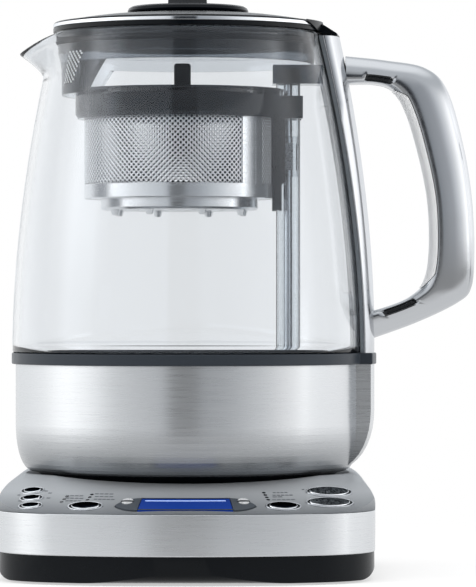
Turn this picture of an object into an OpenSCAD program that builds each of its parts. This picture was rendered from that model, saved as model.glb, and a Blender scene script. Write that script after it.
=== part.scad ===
// Automatic tea maker: a glass jug with a motor-lifted tea basket, standing on a power base.
// Millimetres, +Z up. The controls face -Y, the handle points to +X and the spout to -X.
// The origin is the middle of the footprint of the whole object, on the surface it stands on.

/* [Jug glass] */
// Height at which the glass starts, above the floor
glass_z = 98.4; // [94:0.2:104]
// Height of the glass up to its rim
glass_h = 143.4; // [136:0.2:150]
// Outer radius of the glass at its foot
glass_foot_r = 78.9; // [76:0.1:80]
// How far the glass draws in from the foot to the rim
glass_draw_in = 18.4; // [15:0.1:20]
// Power of the curve that the glass wall follows
glass_curve = 1.85; // [1.5:0.05:2.4]
// Thickness of the glass wall
glass_wall = 2.6; // [1.8:0.1:3]
// How far the spout's tip stands out from the rim of the glass
spout_out = 16; // [13:0.1:18]
// Height of the spout's tip below the rim
spout_drop = 9.1; // [7:0.1:11]
// Lean of the spout's underside from the vertical, degrees
spout_lean = 47; // [42:1:50]
// Half of the angle that the spout's cone opens by, degrees
spout_opening = 30; // [26:1:33]

/* [Jug bowl] */
// How far the metal bowl steps in from the band above it
bowl_step = 1.8; // [0.8:0.1:3]
// Sheet thickness of the bowl
bowl_wall = 1; // [0.8:0.1:1.4]
// Height of the band that joins glass and bowl
band_h = 5; // [4:0.1:7]
// How far the band stands out from the glass
band_lip = 0.3; // [0.1:0.1:1.5]
// Height of the underside of the jug above the floor
jug_foot_z = 41.3; // [40:0.1:43]
// How far the underside slopes in from the bowl's foot to its flat
underside_draw_in = 5.8; // [4:0.1:8]
// How far the bowl curves in from its side to its foot
bowl_draw_in = 9.4; // [7:0.1:11]
// Height of the black underside's sloping edge
underside_h = 4; // [3:0.1:5]
// Thickness of the heating plate
plate_t = 1.2; // [1:0.1:2]
// Height that the heating plate rises in its middle
plate_rise = 3.4; // [2:0.1:4]
// Radius of the ring that the heating element is bent to
element_ring_r = 22; // [18:0.5:24]
// Radius of the heating element's sheath
element_r = 3.4; // [3:0.1:4]

/* [Handle] */
// Outermost point of the handle, from the jug's axis
handle_reach = 128.8; // [122:0.2:134]
// Depth of the grip from its outer to its inner side, at mid height
grip_depth = 20.4; // [17:0.2:22]
// Half of the grip's width across the jug
grip_half_w = 11.5; // [10:0.1:13]
// Top of the upper arm below the glass rim
upper_arm_drop = 10.1; // [8:0.1:14]
// Underside of the lower arm above the foot of the glass
lower_arm_rise = 6; // [5:0.1:10]
// Half of the width of the pillar that carries the handle
pillar_half_w = 19; // [16:0.5:21]
// How far the pillar stands out from the glass at its foot
pillar_foot_t = 4.9; // [4.6:0.1:6]
// How far the pillar stands out from the glass at its head
pillar_head_t = 7.3; // [6.4:0.1:8.5]
// Thickness of the dark backing between pillar and glass
backing_t = 1.7; // [1.2:0.1:2.4]
// Thickness of the insert along the inside of the grip
liner_t = 3.7; // [2:0.1:5]

/* [Lid] */
// How far the lid's metal rim stands out from the rim of the glass
rim_lip = 0.1; // [0:0.1:1]
// Height of the black flange under the metal rim
flange_h = 2.2; // [1.8:0.1:3]
// Height of the metal rim
rim_h = 2.5; // [2:0.1:3.4]
// Height of the dome above the metal rim
dome_h = 3.6; // [2.6:0.1:5]
// Radius of the knob
knob_r = 27.2; // [22:0.1:30]
// Height of the knob
knob_h = 3.6; // [3:0.1:6]
// Height of the finger tab on the knob
tab_h = 2.2; // [1.6:0.1:4]
// Width of the finger tab
tab_w = 17.2; // [14:0.2:20]
// Depth of the lid's skirt below the glass rim
skirt_h = 14.2; // [11:0.1:16]
// Depth of the skirt's tongue, in front of the spout, below the glass rim
tongue_h = 28.2; // [24:0.1:32]
// Half of the angle that the tongue spans at its foot, degrees
tongue_half_angle = 38; // [34:1:44]
// Radius of the holes in the spout filter
filter_hole_r = 0.65; // [0.4:0.05:0.8]
// Rows of holes in each patch of the filter
filter_rows = 10; // [6:1:12]
// Holes in each row of the filter
filter_columns = 3; // [2:1:4]

/* [Basket] */
// Distance of the basket's axis from the jug's axis, towards the spout
basket_shift = 3.8; // [3:0.1:5]
// Outer radius of the collar
collar_r = 46.9; // [45:0.1:48]
// Height of the collar
collar_h = 13.1; // [11:0.1:15]
// Height of the collar's top above the floor
collar_top_z = 216.2; // [212:0.1:217]
// Outer radius of the perforated wall
mesh_r = 42.7; // [41:0.1:42.9]
// Sheet thickness of the perforated wall
mesh_wall = 0.6; // [0.4:0.1:0.8]
// Length of the perforated wall below the collar
mesh_drop = 29.8; // [26:0.2:31]
// Height of the plain band under the perforated wall
mesh_band_h = 6; // [4:0.1:7]
// Outer radius of the basket's cupped floor
floor_r = 35.4; // [33:0.1:38]
// Depth of the basket's cupped floor
floor_h = 5; // [4:0.1:6]
// Rows of holes in the perforated wall
hole_rows = 5; // [3:1:6]
// Holes in each row of the perforated wall
holes_round = 36; // [20:1:40]
// Radius of the holes in the perforated wall
mesh_hole_r = 1.5; // [1:0.1:1.8]
// How far the basket is lowered into the water
basket_travel = 54; // [40:1:55]

/* [Lifting column] */
// Distance of the column's middle from the jug's axis
column_x = 45; // [44.6:0.1:46]
// Width of the column, from the basket to the handle
column_w = 10.8; // [10:0.1:11.2]
// Depth of the column, from front to back
column_d = 13; // [12:0.1:14]
// Sheet thickness of the column
column_wall = 0.9; // [0.7:0.1:1.1]
// Top of the column below the glass rim
column_drop = 16; // [15:0.1:18]
// Radius of the lead screw
screw_r = 2; // [1.6:0.1:2.2]
// Radius of the lifting motor
motor_r = 12; // [10:0.1:13]
// Length of the lifting motor
motor_h = 26; // [20:0.5:30]

/* [Base] */
// Width of the base
base_w = 165; // [160:1:172]
// Distance from the jug's axis to the front of the base
base_front = 100; // [97:0.5:104]
// Distance from the jug's axis to the back of the base
base_back = 84; // [82:0.5:90]
// Radius of the base's corners in plan
corner_r = 40; // [36:1:44]
// Radius of the bowed front in plan
bow_r = 156.9; // [150:0.1:170]
// Height of the base's top
base_top_z = 45; // [44:0.1:46]
// Height of the seam between the top and the side band
seam_z = 30.5; // [28:0.1:32]
// Height of the lower edge of the side band
band_foot_z = 12.4; // [10:0.1:15]
// Slope of the control panel, degrees
panel_slope = 20; // [18:0.5:22]
// Radius of the shoulder along the sides and the back
shoulder_r = 13; // [10:0.5:14]
// Radius of the tray's lower edge
tray_edge_r = 7; // [5:0.5:9]
// Wall thickness of the base's shells
base_wall = 1.6; // [1.2:0.1:2]
// Radius of the dish that the jug stands in, at its floor
dish_r = 65; // [64:0.1:67]
// Radius of the dish at the top of the base
dish_top_r = 73.5; // [72:0.1:75]
// Radius of the round power connector
connector_r = 16; // [14:0.1:17]
// Height of the power connector above the dish
connector_h = 10; // [8:0.1:12]
// Radius of a rubber foot
foot_r = 7; // [5:0.1:9]
// Height that a rubber foot stands out
foot_h = 1; // [0.8:0.1:2]
// Radius of the cord's inlet
inlet_r = 3.6; // [3:0.1:4.2]

/* [Controls] */
// Width of the display's glass
display_w = 38.6; // [34:0.1:42]
// Depth of the display, up the slope
display_d = 14; // [12:0.1:16]
// Distance of the display's middle up the slope from the seam
display_s = 11.7; // [10.5:0.1:13]
// Length of each pointed key beside the display
key_l = 11.2; // [9:0.1:13]
// How far a button stands out of its ring
button_proud = 0.9; // [0.6:0.1:1.4]
// How far a button can be pressed
button_travel = 1; // [0.6:0.1:1.2]
// Distance from the base's side to the middle of the column of small buttons
small_keys_in = 15.6; // [15:0.1:18]
// Width of the ring round a button
ring_w = 0.6; // [0.4:0.1:0.7]
// Radius of an indicator window
window_r = 0.8; // [0.6:0.1:1]

/* [Fits] */
// Running clearance of a part that slides or turns in another
running_gap = 0.3; // [0.2:0.05:0.4]
// Gap between pieces that are fixed together
seat_gap = 0.05; // [0.02:0.01:0.1]
// Running clearance of the lead screw in its nut
screw_gap = 0.08; // [0.05:0.01:0.1]

/* [Hidden] */
$fn = 96;

// Finishes
steel = "#c9cccf";
polished = "#dfe1e4";
smoke = "#59616a";
black = "#17191c";
brass = "#c8a24a";
rubber = "#26282b";
clear = [0.8, 0.88, 0.92, 0.35];
blue = "#2145a0";
green = "#2f6b3a";

// The jug's axis in the object's own frame
jug_x = -(handle_reach - base_w / 2) / 2;
jug_y = (base_front - base_back) / 2;

// Levels and radii that follow from the sizes above
rim_z = glass_z + glass_h;
glass_rim_r = glass_foot_r - glass_draw_in;
spout_reach = glass_rim_r + spout_out;
band_r = glass_foot_r + band_lip;
bowl_r = band_r - bowl_step;
bowl_foot_r = bowl_r - bowl_draw_in;
underside_r = bowl_foot_r - underside_draw_in;
rim_r = glass_rim_r + rim_lip;
band_z = glass_z - band_h;
plate_z = band_z + 2.1;
band_ledge_r = glass_foot_r - glass_wall - 2;
plate_r = band_ledge_r - seat_gap;
bowl_foot_z = jug_foot_z + underside_h;
pillar_edge_t = 0.6;
neck_r = glass_rim_r - glass_wall;
flange_z = rim_z + seat_gap;
lid_rim_z = flange_z + flange_h;
dome_z = lid_rim_z + rim_h;
knob_z = dome_z + dome_h + seat_gap;
skirt_r = neck_r - 1;
skirt_wall = 1.6;
skirt_foot_z = rim_z - skirt_h;
tongue_foot_z = rim_z - tongue_h;
collar_z = collar_top_z - collar_h;
band_top_z = collar_z - mesh_drop;
mesh_foot_z = band_top_z - mesh_band_h;
basket_seat_r = mesh_r + seat_gap;
column_top_z = rim_z - column_drop;
plate_top_z = plate_z + plate_t + plate_rise;
motor_top_z = plate_z + plate_rise - 2;
half_w = base_w / 2;
corner_x = half_w - corner_r;
bow_y = bow_r - base_front;
corner_y = sqrt(pow(bow_r - corner_r, 2) - corner_x * corner_x) - bow_y;
bow_angle = asin(corner_x / (bow_r - corner_r));
display_angle = asin(display_w / 2 / (bow_r - display_s));
key_angle = asin(key_l / (bow_r - display_s));

// The tray's fittings: feet and screws near the corners, the board, the cord's inlet
foot_places = [for (x = [-1, 1], y = [-1, 1]) [x * (corner_x + 8), y * (corner_y - 4)]];
screw_places = [for (x = [-1, 1], y = [-1, 1]) [x * (corner_x + 14), y * (corner_y - 24)]];
boss_r = 4;
screw_hole_r = 1.6;
screw_head_r = 2.8;
board_z = 20;
board_size = [72, 32, 1.6];
board_front = 72;
inlet_wall = 1.6;
inlet_z = (foot_h + band_foot_z) / 2 + 0.2;

// The connector's contacts and the socket over it
pin_r = 3;
blade_r = 11;
socket_r = connector_r + 5.4;
socket_h = 17;
gland_r = 5;
element_x = -10;
seal_z = rim_z - 6;

// The basket's arms beside the column, and the carriage inside it
arm_in = column_d / 2 + running_gap;
arm_t = 5;
finger_h = 10.1;
collar_lip = 0.4;
guide_end = column_x + column_w / 2 + 0.9;
arm_from = collar_r - basket_shift - 9.5;
arm_to = column_x - 1.5;
arm_foot_z = mesh_foot_z + 3;
carriage_z = arm_foot_z + 7;
carriage_h = 18;
carriage_d = column_d - 2 * column_wall - 2 * running_gap;

// A small button's place: it keeps its distance from the side wherever it lies on the slope
function small_key_at(s) = [-asin((half_w - small_keys_in) / (bow_r - s * cos(panel_slope))), s];

// Controls as [turn about the bow's centre in degrees, distance up the slope], and [width, depth]
small_oval = [10.2, 6.8];
medium_oval = [14.5, 8.8];
large_oval = [21, 10.2];
tea_type_at = [-16.8, 8.8];
strength_at = [16.4, 8.8];
hot_water_at = [25.2, 11.8];
start_at = [27.4, 23.6];
keep_warm_at = small_key_at(8);
clock_at = small_key_at(16.3);
auto_start_at = small_key_at(24.6);
left_windows = (keep_warm_at[0] + tea_type_at[0]) / 2;
ovals = [[tea_type_at, medium_oval], [strength_at, medium_oval], [hot_water_at, large_oval],
    [start_at, large_oval], [keep_warm_at, small_oval], [clock_at, small_oval],
    [auto_start_at, small_oval]];
windows = [[left_windows, 13.1], [left_windows, 16.1], [left_windows, 19.1], [-17.3, 15.8], [-17.3, 18.8],
    [-17.3, 21.8], [14.5, 16.2], [14.5, 18.8], [14.5, 21.4], [14.5, 24]];

// Puts a piece that is drawn about the jug's axis in its place
module seat() translate([jug_x, jug_y, 0]) children();

// Outer radius of the glass at a height
function glass_radius(z) = glass_foot_r
    - glass_draw_in * pow(max(0, min(1.05, (z - glass_z) / glass_h)), glass_curve);

// A closed solid through rings of equal numbers of points, each ring counter-clockwise from its end
module skin(rings) {
    n = len(rings[0]);
    m = len(rings);
    sides = [for (j = [0:m - 2], i = [0:n - 1]) let (a = j * n + i, b = j * n + (i + 1) % n)
        each [[a, a + n, b + n], [a, b + n, b]]];
    polyhedron(points = [for (ring = rings) each ring], convexity = 8,
        faces = concat([[for (i = [0:n - 1]) i]], sides, [[for (i = [n - 1:-1:0]) (m - 1) * n + i]]));
}

// A ring of rectangular section about the Z axis
module ring(r_in, r_out, h) rotate_extrude() translate([r_in, 0]) square([r_out - r_in, h]);

// A point on a smooth curve through given points, with t running from 0 to 1
function along(points, t) = let (spans = len(points) - 1, s = min(spans - 0.0001, t * spans),
    i = floor(s), u = s - i, b = points[i], c = points[i + 1],
    a = i > 0 ? points[i - 1] : 2 * b - c, d = i < spans - 1 ? points[i + 2] : 2 * c - b)
    0.5 * (2 * b + (c - a) * u + (2 * a - 5 * b + 4 * c - d) * u * u + (3 * b - a - 3 * c + d) * u * u * u);

/* ---- Base ---- */

// Outline of the base in plan: a bowed front, round corners and a straight back
module footprint(inset) {
    wedge = bow_r * 1.2;
    intersection() {
        translate([0, bow_y]) circle(bow_r - inset, $fn = 240);
        polygon([[0, bow_y], [-wedge * sin(bow_angle), bow_y - wedge * cos(bow_angle)],
            [wedge * sin(bow_angle), bow_y - wedge * cos(bow_angle)]]);
    }
    for (side = [-1, 1]) {
        translate([side * corner_x, -corner_y]) circle(corner_r - inset);
        translate([side * corner_x, base_back - corner_r]) circle(corner_r - inset);
    }
    translate([-half_w + inset, -corner_y]) square([base_w - 2 * inset, corner_y + base_back - corner_r]);
    translate([-corner_x, -corner_y]) square([2 * corner_x, corner_y + base_back - inset]);
}

// A slab's end view, from x0 to x1, with a round corner of radius r at each top or bottom end
module rounded_end(x0, x1, z0, z1, r, at_top) {
    turn_z = at_top ? z1 - r : z0 + r;
    translate([x0, at_top ? z0 : turn_z]) square([x1 - x0, z1 - z0 - r]);
    translate([x0 + r, z0]) square([x1 - x0 - 2 * r, z1 - z0]);
    for (x = [x0 + r, x1 - r]) translate([x, turn_z]) circle(r);
}

// The base's upper body, drawn in by inset on every side
module upper_form(inset) {
    top = base_top_z - inset;
    drop = inset / cos(panel_slope);
    reach = 20;
    intersection() {
        linear_extrude(top) footprint(inset);
        rotate([90, 0, 0]) linear_extrude(2 * base_w, center = true)
            rounded_end(-half_w + inset, half_w - inset, 0, top, shoulder_r - inset, true);
        rotate([90, 0, 90]) linear_extrude(2 * base_w, center = true)
            rounded_end(-base_front - reach, base_back - inset, 0, top, shoulder_r - inset, true);
        translate([0, bow_y, 0]) cylinder(h = base_top_z, $fn = 240,
            r1 = bow_r + (seam_z - drop) / tan(panel_slope),
            r2 = bow_r - (base_top_z - seam_z + drop) / tan(panel_slope));
    }
}

// Moves to a place on the sloping panel, with +Z pointing straight out of it
module on_panel(at) translate([0, bow_y, 0]) rotate([0, 0, at[0]])
    translate([0, -bow_r + at[1] * cos(panel_slope), seam_z + at[1] * sin(panel_slope)])
    rotate([panel_slope, 0, 0]) children();

// An upright cylinder with an oval section
module oval(size, h) scale([1, size[1] / size[0], 1]) cylinder(d = size[0], h = h);

// A stretch of the conical panel between two turns, from below to above the surface
module panel_sector(from, to, s0, s1, below, above) translate([0, bow_y, 0])
    rotate([0, 0, from - 90]) rotate_extrude(angle = to - from, $fn = 240)
    polygon([for (p = [[s0, -below], [s1, -below], [s1, above], [s0, above]])
        [bow_r - p[0] * cos(panel_slope) + p[1] * sin(panel_slope),
            seam_z + p[0] * sin(panel_slope) + p[1] * cos(panel_slope)]]);

// Outline of the display with a pointed arch at each end, as a prism through the panel
module marquise(inset, below, above) {
    half_w = display_w / 2;
    half_d = display_d / 2;
    arc_r = (key_l * key_l + half_d * half_d) / (2 * half_d);
    on_panel([0, display_s]) translate([0, 0, -below]) {
        translate([-half_w, -half_d + inset, 0]) cube([display_w, display_d - 2 * inset, below + above]);
        for (end = [-1, 1]) intersection() {
            pointed_arch(end * half_w, arc_r, half_d, inset, below + above);
            translate([end > 0 ? half_w - 0.01 : -half_w - 2 * key_l + 0.01, -display_d, 0])
                cube([2 * key_l, 2 * display_d, below + above]);
        }
    }
}

// The overlap of the two arcs that make a pointed arch
module pointed_arch(x, arc_r, half_d, inset, h) intersection_for(side = [-1, 1])
    translate([x, side * (arc_r - half_d), 0]) cylinder(r = arc_r - inset, h = h, $fn = 180);

module base_top() color(steel) seat() difference() {
    union() {
        difference() {
            upper_form(0);
            upper_form(base_wall);
        }
        intersection() {
            upper_form(0);
            translate([0, 0, jug_foot_z - base_wall]) cylinder(h = base_top_z,
                r1 = dish_r + base_wall, r2 = dish_top_r + base_top_z);
            translate([0, 0, jug_foot_z - base_wall])
                cylinder(r = dish_top_r + base_wall, h = base_top_z);
        }
    }
    translate([0, 0, -1]) cube([2 * base_w, 2 * base_w, 2 * (seam_z + seat_gap) + 2], center = true);
    translate([0, 0, jug_foot_z]) cylinder(h = base_top_z - jug_foot_z + 0.01,
        r1 = dish_r, r2 = dish_top_r);
    translate([0, 0, seam_z]) cylinder(r = connector_r + seat_gap, h = base_top_z);
    for (o = ovals) on_panel(o[0]) translate([0, 0, -6])
        oval([o[1][0] + 2 * ring_w + 2 * seat_gap, o[1][1] + 2 * ring_w + 2 * seat_gap], 12);
    for (w = windows) on_panel(w) translate([0, 0, -6]) cylinder(r = window_r + seat_gap, h = 12);
    marquise(-seat_gap, 6, 6);
}

module base_band() color(steel) seat() translate([0, 0, band_foot_z + seat_gap])
    linear_extrude(seam_z - band_foot_z - seat_gap) difference() {
        footprint(0);
        footprint(base_wall);
    }

module tray_form(inset) intersection() {
    translate([0, 0, foot_h + inset]) linear_extrude(band_foot_z - foot_h - inset)
        footprint(inset + 0.4);
    rotate([90, 0, 0]) linear_extrude(2 * base_w, center = true)
        rounded_end(-half_w + inset, half_w - inset, foot_h + inset, base_top_z,
            tray_edge_r - inset, false);
    rotate([90, 0, 90]) linear_extrude(2 * base_w, center = true)
        rounded_end(-base_front + inset, base_back - inset, foot_h + inset, base_top_z,
            tray_edge_r - inset, false);
}

module base_tray() color(black) seat() difference() {
    union() {
        difference() {
            tray_form(0);
            translate([0, 0, 0.01]) tray_form(base_wall + 0.8);
        }
        // bosses for the screws, and posts under the circuit board
        for (p = screw_places) translate([p[0], p[1], foot_h + base_wall]) cylinder(r = boss_r, h = 20);
        for (x = [-1, 1], y = [6, board_size[1] - 6])
            translate([x * (board_size[0] / 2 - 6), y - board_front, foot_h + base_wall])
            cylinder(r = 2.5, h = board_z - foot_h - base_wall - seat_gap);
        // the locating lip inside the side band
        translate([0, 0, band_foot_z - 3]) linear_extrude(6) difference() {
            footprint(base_wall + seat_gap);
            footprint(base_wall + 1.6);
        }
    }
    for (p = screw_places) translate([p[0], p[1], 0]) {
        cylinder(r = screw_hole_r, h = 30);
        cylinder(r = screw_head_r + 0.2, h = foot_h + 2.2);
    }
    for (p = foot_places) translate([p[0], p[1], 0]) cylinder(r = foot_r + seat_gap, h = foot_h + 1);
    translate([0, base_back, inlet_z]) rotate([90, 0, 0]) cylinder(r = inlet_r + inlet_wall + seat_gap, h = 12);
}
module base_feet() color(rubber) seat()
    for (p = foot_places) translate([p[0], p[1], 0]) {
        cylinder(r = foot_r, h = foot_h + 1 - seat_gap);
    }

module base_screws() color(polished) seat()
    for (p = screw_places) translate([p[0], p[1], foot_h + 0.4]) {
        cylinder(r = screw_head_r, h = 1.7);
        cylinder(r = screw_hole_r - seat_gap, h = 16);
    }

// The cord's inlet at the back of the tray, a bush with a bore through it
module cord_inlet() color(rubber) seat() translate([0, base_back, inlet_z]) rotate([90, 0, 0])
    difference() {
        cylinder(r = inlet_r + inlet_wall, h = 6);
        translate([0, 0, -1]) cylinder(r = inlet_r, h = 9);
    }

// The round connector that the jug drops onto, facing any way
module power_connector() color(black) seat() difference() {
    union() {
        translate([0, 0, seam_z + 4]) cylinder(r = connector_r + 5,
            h = jug_foot_z - base_wall - seam_z - 4 - seat_gap);
        translate([0, 0, seam_z + 4]) cylinder(r = connector_r,
            h = jug_foot_z + connector_h - seam_z - 4);
    }
    translate([0, 0, jug_foot_z]) {
        cylinder(r = pin_r + 1, h = connector_h + 1);
        ring(blade_r - 1.8, blade_r + 1.8, connector_h + 1);
    }
}
module connector_contacts() color(brass) seat() translate([0, 0, jug_foot_z + seat_gap]) {
    ring(pin_r + 0.4, pin_r + 1 - seat_gap, connector_h - 2);
    ring(blade_r + 1, blade_r + 1.8 - seat_gap, connector_h - 2);
}

module circuit_board() color(green) seat() translate([-board_size[0] / 2, -board_front, board_z])
    difference() {
        cube(board_size);
        translate([board_size[0] / 2, board_size[1] / 2, -1]) cylinder(r = 3, h = 4);
    }

// The display's glass follows the curve of the panel
module display_glass() color(blue) seat() intersection() {
    panel_sector(-display_angle, display_angle, display_s - display_d, display_s + display_d, 1.4, 0.2);
    marquise(0.4, 8, 8);
}

module display_module() color(black) seat() on_panel([0, display_s])
    translate([-display_w / 2 + 2, -display_d / 2 + 1, -6.2]) cube([display_w - 4, display_d - 2, 3.6]);

// A pointed key beside the display that rocks up and down
module pointed_key(side) intersection() {
    panel_sector(side > 0 ? display_angle + 0.12 : -display_angle - 0.12 - key_angle,
        side > 0 ? display_angle + 0.12 + key_angle : -display_angle - 0.12,
        display_s - display_d, display_s + display_d, 2.6, 0.6);
    marquise(running_gap, 8, 8);
}

module temperature_key() color(smoke) seat() pointed_key(-1);
module time_key() color(smoke) seat() pointed_key(1);

// An oval button with a stem down towards its switch
module button(o) on_panel(o[0]) {
    translate([0, 0, -1.2 - button_travel])
        oval([o[1][0] - 2 * running_gap, o[1][1] - 2 * running_gap], 1.2 + button_travel + button_proud);
    translate([0, 0, -6]) cylinder(r = 1.6, h = 5);
}

module tea_type_button() color(polished) seat() button(ovals[0]);
module strength_button() color(polished) seat() button(ovals[1]);
module hot_water_button() color(polished) seat() button(ovals[2]);
module start_button() color(polished) seat() button(ovals[3]);
module keep_warm_button() color(polished) seat() button(ovals[4]);
module clock_button() color(polished) seat() button(ovals[5]);
module auto_start_button() color(polished) seat() button(ovals[6]);

module button_rings() color(polished) seat() for (o = ovals) on_panel(o[0]) difference() {
    translate([0, 0, -base_wall]) oval([o[1][0] + 2 * ring_w, o[1][1] + 2 * ring_w], base_wall + 0.4);
    translate([0, 0, -base_wall - 1]) oval(o[1], base_wall + 3);
}

module indicator_windows() color(clear) seat() for (w = windows) on_panel(w)
    translate([0, 0, -base_wall - 1]) cylinder(r = window_r, h = base_wall + 1.1);

/* ---- Jug ---- */

// The cone that the spout is drawn from, with its wall moved in by inset
module spout_cone(inset) {
    tilt = spout_lean - spout_opening;
    length = 46;
    tip_z = rim_z - spout_drop;
    apex_drop = 22;
    translate([-spout_reach + apex_drop * tan(spout_lean), 0, tip_z - apex_drop]) rotate([0, -tilt, 0])
        translate([0, 0, inset / sin(spout_opening)])
        cylinder(h = length, r1 = 0.2, r2 = 0.2 + length * tan(spout_opening));
}

// Section of the jug inside a wall of thickness inset
module jug_section(inset, foot, head) {
    steps = 16;
    polygon([[0, foot], for (i = [0:steps]) let (z = foot + (head - foot) * i / steps)
        [glass_radius(z) - inset, z], [0, head]]);
}

module jug_glass() color(clear) seat() {
    dip_start = glass_rim_r - 5.5;
    dip = atan(spout_drop / (spout_reach - dip_start));
    difference() {
        union() {
            rotate_extrude() jug_section(0, glass_z + seat_gap, rim_z);
            intersection() {
                spout_cone(0);
                translate([-1.5 * spout_reach, -spout_reach / 2, glass_z])
                    cube([spout_reach, spout_reach, glass_h]);
            }
        }
        rotate_extrude() jug_section(glass_wall, glass_z - 0.5, rim_z + 0.5);
        spout_cone(glass_wall * 0.8);
        translate([-dip_start, -glass_rim_r, rim_z]) rotate([0, -dip, 0])
            translate([-spout_reach, 0, 0]) cube([spout_reach, 2 * glass_rim_r, spout_reach]);
    }
}

// Ring that carries the glass, with a pad under the handle's pillar
module jug_band() color(smoke) seat() translate([0, 0, band_z]) difference() {
    union() {
        ring(0, band_r, band_h);
        translate([0, 0, band_h]) ring(0, glass_foot_r - glass_wall - 0.4, 2.4);
        intersection() {
            cylinder(r = glass_foot_r + pillar_foot_t + 0.9, h = band_h);
            translate([0, -pillar_half_w - 1, 0]) cube([2 * band_r, 2 * pillar_half_w + 2, band_h]);
        }
        translate([0, 0, -2.4]) ring(0, bowl_r - bowl_wall - seat_gap, 2.4);
    }
    translate([0, 0, -3]) cylinder(r = band_ledge_r - 4, h = 40);
    translate([0, 0, plate_z - band_z - seat_gap]) cylinder(r = band_ledge_r, h = 40);
}

// Section of the metal bowl inside a wall of thickness inset, standing out by extra at the pillar
module bowl_section(inset, extra) {
    top = band_z - seat_gap;
    foot = bowl_foot_z;
    turn = 21;
    drop_r = bowl_r - bowl_foot_r;
    polygon([[0, foot], for (i = [0:10]) let (u = i / 10)
        [bowl_foot_r - inset + (drop_r + extra) * pow(sin(90 * u), 0.75) - extra * pow(1 - u, 2),
            foot + (turn + extra) * (1 - cos(90 * u))],
        [bowl_r - inset + extra, top], [0, top]]);
}

module jug_bowl() color(steel) seat() difference() {
    union() {
        rotate_extrude() bowl_section(0, 0);
        intersection() {
            rotate_extrude() bowl_section(0, glass_foot_r + pillar_foot_t - bowl_r);
            translate([0, -pillar_half_w, 0]) cube([2 * bowl_r, 2 * pillar_half_w, band_z]);
        }
    }
    difference() {
        translate([0, 0, -0.01]) rotate_extrude() bowl_section(bowl_wall, 0);
        translate([0, 0, bowl_foot_z - 1]) ring(bowl_foot_r - 4, bowl_foot_r, 1 + bowl_wall);
    }
    translate([0, 0, bowl_foot_z - 1]) cylinder(r = bowl_foot_r - 4, h = 4);
    translate([0, 0, band_z - 0.1]) cylinder(r = bowl_r - bowl_wall, h = 1);
}

module jug_underside() color(black) seat() difference() {
    rotate_extrude() polygon([[socket_r + seat_gap, jug_foot_z], [underside_r, jug_foot_z],
        [bowl_foot_r, bowl_foot_z - seat_gap], [bowl_foot_r - 4 - seat_gap, bowl_foot_z - seat_gap],
        [bowl_foot_r - 4 - seat_gap, bowl_foot_z + 3], [bowl_foot_r - 7, bowl_foot_z + 3],
        [bowl_foot_r - 9, jug_foot_z + 2.4], [socket_r + 3, jug_foot_z + 2.4],
        [socket_r + 3, jug_foot_z + 12], [socket_r + seat_gap, jug_foot_z + 12]]);
    // drain slots round the foot
    for (turn = [30:60:330]) rotate([0, 0, turn]) translate([underside_r - 12, -2, jug_foot_z - 1])
        cube([4, 4, 1.8]);
}

// Cup that drops over the base's connector, free to turn on it
module jug_socket() color(black) seat() translate([0, 0, jug_foot_z]) difference() {
    union() {
        translate([0, 0, 0.4]) cylinder(r = socket_r, h = socket_h - 0.4);
        translate([0, 0, 12 + seat_gap]) cylinder(r = socket_r + 3, h = 2);
    }
    translate([0, 0, -1]) cylinder(r = connector_r + running_gap, h = connector_h + 2);
    translate([0, 0, connector_h]) cylinder(r = pin_r, h = 5);
    translate([0, 0, connector_h]) ring(blade_r - 0.8, blade_r + 0.8, 5);
}

module socket_contacts() color(brass) seat() translate([0, 0, jug_foot_z]) {
    translate([0, 0, 3]) cylinder(r = pin_r - seat_gap, h = connector_h + 1.5);
    translate([0, 0, 3]) ring(blade_r - 0.8 + seat_gap, blade_r + 0.8 - seat_gap, connector_h + 1.5);
}

// Section of the heating plate between its underside and its top
module plate_section() {
    flat_r = plate_r - 12;
    polygon([[0, plate_z + plate_rise], [flat_r, plate_z + plate_rise], [plate_r - 4, plate_z],
        [plate_r, plate_z], [plate_r, plate_z + plate_t], [plate_r - 3.4, plate_z + plate_t],
        [flat_r + 0.6, plate_top_z], [0, plate_top_z]]);
}

module heating_plate() color(steel) seat() difference() {
    rotate_extrude() plate_section();
    translate([column_x, 0, band_z]) cylinder(r = gland_r + seat_gap, h = 20);
}

// An open ring of sheathed element under the plate, with its two ends turned down
module heating_element() color(steel) seat() translate([element_x, 0, plate_z + plate_rise - element_r - seat_gap]) {
    rotate([0, 0, 25]) rotate_extrude(angle = 310) translate([element_ring_r, 0]) circle(element_r, $fn = 32);
    for (turn = [25, 335]) rotate([0, 0, turn]) translate([element_ring_r, 0, -10])
        cylinder(r = element_r, h = 10, $fn = 32);
}

module thermostat() color(black) seat() translate([element_x, 0, 0]) {
    translate([0, 0, plate_z + plate_rise - 9 - seat_gap]) cylinder(r = 12, h = 9);
    translate([0, 0, jug_foot_z + socket_h + seat_gap])
        cylinder(r = 6, h = plate_z + plate_rise - 9 - jug_foot_z - socket_h - 2 * seat_gap);
}

/* ---- Handle ---- */

// Outer and inner outline of the handle as fractions: 0 at the pillar and 1 at the reach,
// 0 at the underside of the lower arm and 1 at the top of the upper arm
grip_outer = [[0, 1], [0.307, 0.985], [0.618, 0.958], [0.789, 0.88], [0.914, 0.687], [0.983, 0.492],
    [1, 0.298], [0.976, 0.181], [0.867, 0.128], [0.541, 0.057], [0.1, -0.015]];
grip_inner = [[0, 0.895], [0.206, 0.896], [0.339, 0.877], [0.439, 0.817], [0.541, 0.676], [0.625, 0.492],
    [0.637, 0.308], [0.594, 0.206], [0.494, 0.156], [0.345, 0.124], [0.08, 0.09]];
handle_root_in = 8;
handle_root_x = glass_foot_r - handle_root_in;
upper_arm_z = rim_z - upper_arm_drop;
lower_arm_z = glass_z + lower_arm_rise;

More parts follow.
